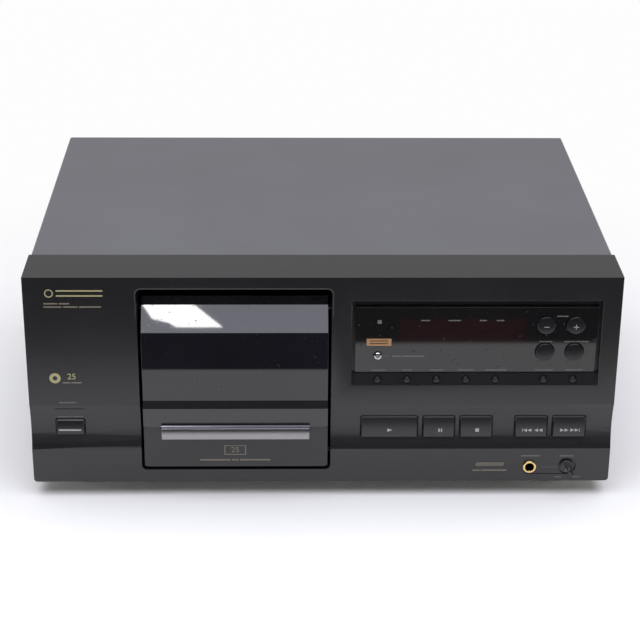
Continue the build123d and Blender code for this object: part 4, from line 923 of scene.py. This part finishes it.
@dataclass
class Hood:
    """The door's window, rail, trim panel, handle and the frame behind them."""

    window_ease: float = 0.3
    panel_ease: float = 0.45
    rail_ease: float = 0.3
    handle_ease: float = 0.15
    sides: tuple[float, float] = (-128.8, 3.8)
    pane_foot: float = 65.8
    pane_bend: float = 119.1
    pane_thickness: float = 3.0
    facet_depth: float = 17.4
    facet_lean: float = 38.7
    handle_sides: tuple[float, float] = (-115.45, -9.55)
    lip_arcs: tuple[tuple[tuple[float, float], float, float, float, int], ...] = (
        ((-3.422, 47.712), 0.4, 100.0, 46.0, 5), ((4.636, 39.368), 12.0, 46.0, 38.0, 5),
        ((-4.347, 46.387), 0.6, 38.0, -60.0, 8))
    lip_back: Corners = ((-2.6, 45.9), (-2.6, 47.9))

    def build(self) -> None:
        """Builds the hood and the print under its handle."""
        Extruded("hood_window", "hood", PANE, "smoked_pane", self.window_ease, section=self.pane_section(),
                 left=self.sides[0], right=self.sides[1]).build()
        TrimPanel("hood_panel", "hood", FASCIA, "fascia_black", self.panel_ease).build()
        HoodPart("hood_carrier", "hood", RAIL, "fascia_black", self.rail_ease).build()
        Handle("hood_handle", "hood", HANDLE, "handle_metal", self.handle_ease, angle=40.0,
               section=self.handle_section(), left=self.handle_sides[0], right=self.handle_sides[1]).build()
        self.lip()
        self.prints()

    def pane_section(self) -> Corners:
        """Works out the bent pane's section.

        Returns:
            Its corners as depth and height.
        """
        lean = math.radians(self.facet_lean)
        wall = self.pane_thickness
        rim = self.pane_bend + self.facet_depth / math.tan(lean)
        back_rim = (self.facet_depth + wall * math.cos(lean), rim - wall * math.sin(lean))
        return ((0.0, self.pane_foot), (0.0, self.pane_bend), (self.facet_depth, rim), back_rim,
                (wall, self.pane_bend - wall * math.tan(lean / 2)), (wall, self.pane_foot))

    def handle_section(self) -> Corners:
        """Draws the folded strip's section: its bowed face and the groove in which the lip lies.

        Returns:
            Its corners as depth and height.
        """
        return ((-6.9, 38.2), (-7.3, 38.6), (-7.5, 39.6), (-7.6, 41.2), (-7.56, 43.0), (-7.36, 44.8), (-7.06, 46.2),
                (-6.8, 46.8), (-6.4, 46.95), (-6.1, 46.7), (-2.0, 46.7), (-2.0, 45.9), (-5.4, 45.9), (-5.4, 38.2))

    def lip(self) -> bpy.types.Object:
        """Rolls the bright lip along the handle's top.

        Returns:
            The lip.
        """
        section = []
        for middle, radius, start, stop, steps in self.lip_arcs:
            for step in range(steps + 1):
                turn = math.radians(start + (stop - start) * step / steps)
                section.append((middle[0] - radius * math.cos(turn), middle[1] + radius * math.sin(turn)))
        work = bmesh.new()
        left, right = self.handle_sides
        Extruded("hood_lip", "hood", LIP, "handle_metal").run(work, (*section, *self.lip_back), left - 0.5, right + 0.5)
        for face in work.faces:
            face.smooth = abs(face.normal.x) < 0.5
        piece = enter(work, "hood_lip", LIP, "hood")
        piece.data.set_sharp_from_angle(angle=math.radians(50.0))
        return piece

    def prints(self) -> None:
        """Lays the emblem and the note on the trim panel."""
        emblem = Print("hood_emblem", "hood_panel", "hood", BRONZE_INK, "gold")
        emblem.bar(-70.9, -55.3, 29.3, 29.8).bar(-70.9, -55.3, 22.1, 22.6)
        emblem.bar(-70.9, -70.3, 22.6, 29.3).bar(-55.9, -55.3, 22.6, 29.3)
        emblem.figures("25", -63.1, 26.0, 6.2).press()
        notes = Print("hood_notes", "hood_panel", "hood", BRONZE_INK, "gold")
        notes.words(-88.5, -37.4, 17.9, 1.2, (9, 2, 9)).press()


@dataclass
class DisplayBlock:
    """The display pane with its prints, the tube and the boards behind."""

    pane_ease: float = 0.25
    labels: Corners = (
        (34.9, 45.2), (56.9, 64.3), (77.1, 86.3), (96.9, 108.1), (116.3, 131.5), (151.9, 165.4), (173.9, 186.3))

    def build(self) -> None:
        """Builds the pane and dresses what is behind it."""
        LeaningPane("display_window", "root", DISPLAY_PANE, "smoked_pane", self.pane_ease).build()
        wear(TUBE, "display_tube")
        wear(UPRIGHT_BOARD, "display_board", "key_boards")
        area = Print("display_filter", "display_window", "root", RED_GLOW, "lens_red", lift=0.005, thickness=0.02)
        area.bar(53.7, 143.5, 110.6, 128.8).press()
        self.print_labels()

    def print_labels(self) -> None:
        """Lays the display's labels, its small window and its badge."""
        ink = Print("display_labels", "display_window", "root", PALE_INK, "key_black", lift=0.04)
        for left, right in self.labels:
            ink.words(left, right, 88.4, 1.1)
        for left, right in ((69.1, 75.6), (88.4, 97.3), (110.5, 115.6), (122.5, 128.0)):
            ink.words(left, right, 127.9, 1.0)
        ink.words(165.2, 173.2, 131.2, 1.0).words(153.8, 163.0, 111.1, 1.0).words(171.6, 188.9, 111.1, 1.0)
        ink.bar(43.0, 47.0, 99.6, 99.85).words(49.3, 72.3, 99.6, 1.2, (2, 5))
        ink.bar(38.4, 41.2, 125.4, 128.2).press()
        badge = Print("display_badge", "display_window", "root", COPPER, "gold", thickness=0.08)
        badge.bar(30.9, 48.5, 107.9, 113.5).press()
        lines = Print("display_badge_lines", "display_window", "root", BADGE_INK, "key_black", lift=0.09)
        lines.bar(33.2, 46.2, 111.4, 112.1, 10).bar(33.0, 46.0, 109.3, 110.0, 10).press()


@dataclass
class Keys:
    """Every key of the front with its mark."""

    wide_ease: float = 0.4
    round_ease: float = 0.3
    wide: tuple[str, ...] = ("play_key", "pause_key", "stop_key", "previous_key", "next_key")
    round: tuple[str, ...] = ("disc_minus_key", "disc_plus_key", "select_key", "program_key")
    small_count: int = 7
    skip_heights: tuple[float, float] = (40.2, 42.8)
    dart_length: float = 2.9

    def build(self) -> None:
        """Builds the keys and their marks."""
        for name in self.wide:
            CrownedKey(name, name, KEYS, "key_black", self.wide_ease).build()
        CrownedKey("power_key", "power_key", KEYS, "key_black", self.wide_ease, low=38.2, high=50.2).build()
        for name in self.round:
            DomedKey(name, name, ROUND_KEYS, "key_black", self.round_ease).build()
        for index in range(1, self.small_count + 1):
            name = f"small_key_{index}"
            Eased(name, name, ROUND_KEYS, "key_black", 0.15).build()
        Eased("title_key", "title_key", CHROME, "key_black", 0.15).build()
        self.marks()

    def marks(self) -> None:
        """Lays the transport signs, the plus, the minus and the power key's line."""
        self.mark("play_key").dart(47.0, 50.7, 40.5, 43.1).press()
        self.mark("pause_key").bar(84.0, 85.0, 40.3, 42.9).bar(85.8, 86.8, 40.3, 42.9).press()
        self.mark("stop_key").bar(110.7, 113.5, 40.3, 43.0).press()
        low, high = self.skip_heights
        back = self.mark("previous_key").bar(144.9, 145.3, low, high)
        for tip in (145.5, 148.7, 153.5, 156.7):
            back.dart(tip + self.dart_length, tip, low, high)
        back.press()
        ahead = self.mark("next_key")
        for base in (172.4, 175.6, 179.8, 183.0):
            ahead.dart(base, base + self.dart_length, low, high)
        ahead.bar(186.2, 186.6, low, high).press()
        self.mark("disc_minus_key").bar(156.2, 159.9, 123.0, 123.5).press()
        plus = self.mark("disc_plus_key")
        plus.bar(177.1, 180.9, 122.95, 123.45).bar(178.75, 179.25, 121.3, 122.9).bar(178.75, 179.25, 123.5, 125.1)
        plus.press()
        self.mark("power_key").bar(-189.9, -173.9, 41.7, 42.9).press()

    def mark(self, key: str) -> Print:
        """Starts a mark on a key.

        Args:
            key: the key's node and body.

        Returns:
            The empty print.
        """
        return Print(key + "_mark", key, key, BRIGHT_INK, "key_black")


@dataclass
class JackAndKnob:
    """The headphone socket with its plated bush, and the level knob."""

    bush_ease: float = 0.25
    knob_ease: float = 0.25

    def build(self) -> None:
        """Builds the socket and the knob."""
        Eased("jack_ring", "root", GOLD, "gold", self.bush_ease).build()
        FinKnob("level_knob", "level_knob", KNOB, "knob_black", self.knob_ease).build()
        wear(SOCKET, "headphone_jack")
        wear(MOTOR, "level_pot")


@dataclass
class DiscStore:
    """The turning rack, its gears and its drive."""

    post_ease: float = 0.3
    motor_ease: float = 0.5
    pulley_ease: float = 0.15

    def build(self) -> None:
        """Dresses the disc store."""
        wear(RACK, "carousel_rack")
        wear(NYLON, "carousel_gear", "drive_gear")
        wear(RUBBER, "drive_belt")
        Eased("carousel_post", "root", STEEL, "screw_steel", self.post_ease).build()
        Eased("carousel_motor", "root", MOTOR, "screw_steel", self.motor_ease).build()
        Eased("motor_pulley", "motor_pulley", GOLD, "gear_plastic", self.pulley_ease).build()


@dataclass
class Playback:
    """The upright playing mechanism."""

    sheet_ease: float = 0.2
    arm_ease: float = 0.4
    table_ease: float = 0.2
    sled_ease: float = 0.25

    def build(self) -> None:
        """Dresses the playing mechanism."""
        for name in ("mech_frame", "clamp_bracket"):
            Eased(name, "root", ZINC, "chassis_steel", self.sheet_ease).build()
        for name, finish, ease in (("loading_lever", ZINC, self.sheet_ease), ("clamp_arm", RACK, self.arm_ease),
                                   ("clamper", RACK, self.table_ease), ("turntable", RACK, self.table_ease)):
            Eased(name, name, finish, "gear_plastic", ease).build()
        Eased("pickup_sled", "pickup_sled", RACK, "gear_plastic", self.sled_ease, angle=45.0).build()
        wear(STEEL, "guide_rods")
        wear(MOTOR, "spindle_motor")
        wear(NYLON, "sled_gear")


@dataclass
class Electrics:
    """The main board, the transformer and the sockets at the back."""

    board_ease: float = 0.15
    core_ease: float = 0.5
    socket_ease: float = 0.2

    def build(self) -> None:
        """Dresses the electrics."""
        Eased("main_board", "root", BOARD, "board_green", self.board_ease).build()
        Eased("power_transformer", "root", IRON, "transformer_iron", self.core_ease).build()
        Eased("line_out_jacks", "root", GOLD, "gold", self.socket_ease).build()


@dataclass
class Studio:
    """Camera, floor, lamps and surroundings."""

    eye: tuple[float, float, float] = (-0.0280560, -1.3083141, 0.6644093)
    yaw: float = 0.02220382
    pitch: float = 0.42469072
    roll: float = 0.00845245
    lens: float = 101.588
    floor_reach: float = 5.0
    floor_edge: float = -0.362
    ceiling_glow: float = 2.45
    ceiling_size: tuple[float, float] = (2.2, 1.75)
    ceiling_place: tuple[float, float, float] = (0.0, -0.525, 1.4)
    ceiling_tint: Colour = (0.94, 0.95, 1.09)
    strip_glow: float = 17.0
    strip_height: float = 1.2
    strip_corners: Corners = (
        (-0.1155, -0.9571), (-0.1823, -0.9571), (-0.1931, -0.9494), (-0.217, -0.9418), (-0.2281, -0.92),
        (-0.349, -0.737), (-0.306, -0.763), (-0.1519, -0.92))
    floor_drop: float = 0.0002
    floor_shades: tuple[Colour, Colour] = ((0.87, 0.865, 0.835), (0.93, 0.925, 0.895))
    beyond_shade: Colour = (0.02, 0.02, 0.022)
    edge_blur: float = 0.004
    far_white: Colour = (0.985, 0.985, 0.985)
    white_from: float = 0.24
    white_to: float = 0.6
    room_fill: float = 0.42
    wall_glow: float = 0.5
    wall_from: float = -0.35
    wall_to: float = 0.1

    def build(self) -> None:
        """Sets up the whole studio."""
        self.camera()
        self.floor()
        self.ceiling()
        self.strip()
        self.room()
        bpy.context.scene.view_settings.view_transform = "Standard"

    def camera(self) -> None:
        """Puts the camera where the photographer's stood."""
        sin, cos = math.sin, math.cos
        ahead = Vector((sin(self.yaw) * cos(self.pitch), cos(self.yaw) * cos(self.pitch), -sin(self.pitch)))
        level = Vector((cos(self.yaw), -sin(self.yaw), 0.0))
        up = level.cross(ahead)
        right = level * cos(self.roll) + up * sin(self.roll)
        up = up * cos(self.roll) - level * sin(self.roll)
        data = bpy.data.cameras.new("camera")
        data.lens = self.lens
        data.sensor_width = 36.0
        data.clip_start = 0.02
        data.clip_end = 60.0
        camera = link_new("camera", data)
        turn = Matrix((right, up, -ahead)).transposed().to_4x4()
        camera.matrix_world = Matrix.Translation(self.eye) @ turn
        bpy.context.scene.camera = camera

    def floor(self) -> None:
        """Lays the pale floor, which meets the white distance and looks dark beyond the table in reflections."""
        work = bmesh.new()
        bmesh.ops.create_grid(work, x_segments=4, y_segments=4, size=self.floor_reach)
        bmesh.ops.translate(work, verts=work.verts, vec=(0.0, 0.0, -self.floor_drop))
        floor = link_new("floor", to_mesh(work, "floor"))
        floor.data.materials.append(self.floor_material())

    def floor_material(self) -> bpy.types.Material:
        """Makes the floor's paint.

        Returns:
            The floor's material.
        """
        material, tree = self.blank("table paint")
        place = add_node(tree, "TexCoord").outputs["Object"]
        away = add_node(tree, "SeparateXYZ", {"Vector": place}).outputs["Y"]
        reach = add_node(tree, "VectorMath", {0: place}, operation="LENGTH").outputs["Value"]
        noise = add_node(tree, "TexNoise", {"Vector": place, "Scale": 6.0, "Detail": 6.0})
        paint = add_node(tree, "ValToRGB", {"Fac": noise.outputs["Fac"]})
        for element, shade in zip(paint.color_ramp.elements, self.floor_shades):
            element.color = (*shade, 1)
        matt = add_node(tree, "BsdfDiffuse", {"Color": paint.outputs["Color"]})
        white = add_node(tree, "Emission", {"Color": (*self.far_white, 1)})
        far = add_node(tree, "MapRange", {"Value": reach, "From Min": self.white_from, "From Max": self.white_to},
                       interpolation_type="SMOOTHSTEP")
        path = add_node(tree, "LightPath")
        seen = self.add(tree, "MAXIMUM", path.outputs["Is Camera Ray"], path.outputs["Is Glossy Ray"])
        seen = self.add(tree, "MAXIMUM", seen, path.outputs["Is Transmission Ray"])
        glow = self.add(tree, "MULTIPLY", seen, far.outputs["Result"])
        lit = self.mix(tree, glow, matt.outputs["BSDF"], white.outputs["Emission"])
        edge = add_node(tree, "MapRange", {"Value": away, "From Min": self.floor_edge,
                                           "From Max": self.floor_edge - self.edge_blur})
        beyond = self.add(tree, "MULTIPLY", edge.outputs["Result"], path.outputs["Is Glossy Ray"])
        dark = add_node(tree, "BsdfDiffuse", {"Color": (*self.beyond_shade, 1)})
        add_node(tree, "OutputMaterial", {"Surface": self.mix(tree, beyond, lit, dark.outputs["BSDF"])})
        return material

    def add(self, tree: Tree, operation: str, one: Socket, other: Socket) -> Socket:
        """Joins two sockets in one sum.

        Args:
            tree: the node tree.
            operation: the Math node's operation.
            one: the first socket.
            other: the second socket.

        Returns:
            The result's socket.
        """
        return add_node(tree, "Math", {0: one, 1: other}, operation=operation).outputs["Value"]

    def mix(self, tree: Tree, share: Socket, one: Socket, other: Socket) -> Socket:
        """Mixes two shaders.

        Args:
            tree: the node tree.
            share: the second shader's share.
            one: the first shader.
            other: the second shader.

        Returns:
            The mixed shader's socket.
        """
        return add_node(tree, "MixShader", {"Fac": share, 1: one, 2: other}).outputs["Shader"]

    def blank(self, name: str) -> tuple[bpy.types.Material, Tree]:
        """Makes a material with no nodes yet.

        Args:
            name: its name.

        Returns:
            The material and its node tree.
        """
        material = bpy.data.materials.new(name)
        material.use_nodes = True
        material.node_tree.nodes.clear()
        return material, material.node_tree

    def ceiling(self) -> None:
        """Hangs the broad pale softbox that shines straight down."""
        data = bpy.data.lights.new("ceiling", "AREA")
        data.shape = "RECTANGLE"
        data.size, data.size_y = self.ceiling_size
        data.color = self.ceiling_tint
        data.energy = self.ceiling_glow * math.pi * data.size * data.size_y
        lamp = link_new("ceiling", data)
        lamp.location = self.ceiling_place

    def strip(self) -> None:
        """Hangs the small bright pane of light that the hood's sloping facet mirrors."""
        work = bmesh.new()
        work.faces.new([work.verts.new((*corner, self.strip_height)) for corner in self.strip_corners])
        strip = link_new("strip", to_mesh(work, "strip"))
        material, tree = self.blank("strip light")
        shine = add_node(tree, "Emission", {"Strength": self.strip_glow})
        add_node(tree, "OutputMaterial", {"Surface": shine.outputs["Emission"]})
        strip.data.materials.append(material)
        strip.visible_camera = False

    def room(self) -> None:
        """Sets the white surroundings, with the room behind the camera dark in reflections."""
        world = bpy.data.worlds.new("room")
        bpy.context.scene.world = world
        world.use_nodes = True
        tree = world.node_tree
        tree.nodes.clear()
        path = add_node(tree, "LightPath")
        where = add_node(tree, "TexCoord").outputs["Generated"]
        away = add_node(tree, "SeparateXYZ", {"Vector": where}).outputs["Y"]
        back = add_node(tree, "MapRange", {"Value": away, "From Min": self.wall_from, "From Max": self.wall_to,
                                           "To Min": 0.02, "To Max": self.wall_glow},
                        interpolation_type="SMOOTHSTEP")
        fill, wall, white = (
            add_node(tree, "Background", {"Color": (1, 1, 1, 1), "Strength": strength}).outputs["Background"]
            for strength in (self.room_fill, back.outputs["Result"], 1.0))
        shiny = self.add(tree, "MAXIMUM", path.outputs["Is Glossy Ray"], path.outputs["Is Transmission Ray"])
        whole = self.mix(tree, path.outputs["Is Camera Ray"], self.mix(tree, shiny, fill, wall), white)
        add_node(tree, "OutputWorld", {"Surface": whole})


def main() -> None:
    """Builds the changer's looks and its studio."""
    logging.basicConfig(level=logging.INFO, format="%(name)s: %(message)s")
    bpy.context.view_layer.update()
    for part in (Studio(), Casing(), Fascia(), Hood(), DisplayBlock(), Keys(), JackAndKnob(), DiscStore(),
                 Playback(), Electrics()):
        part.build()
        log.info("%s is done", type(part).__name__)


if __name__ == "__main__":
    main()
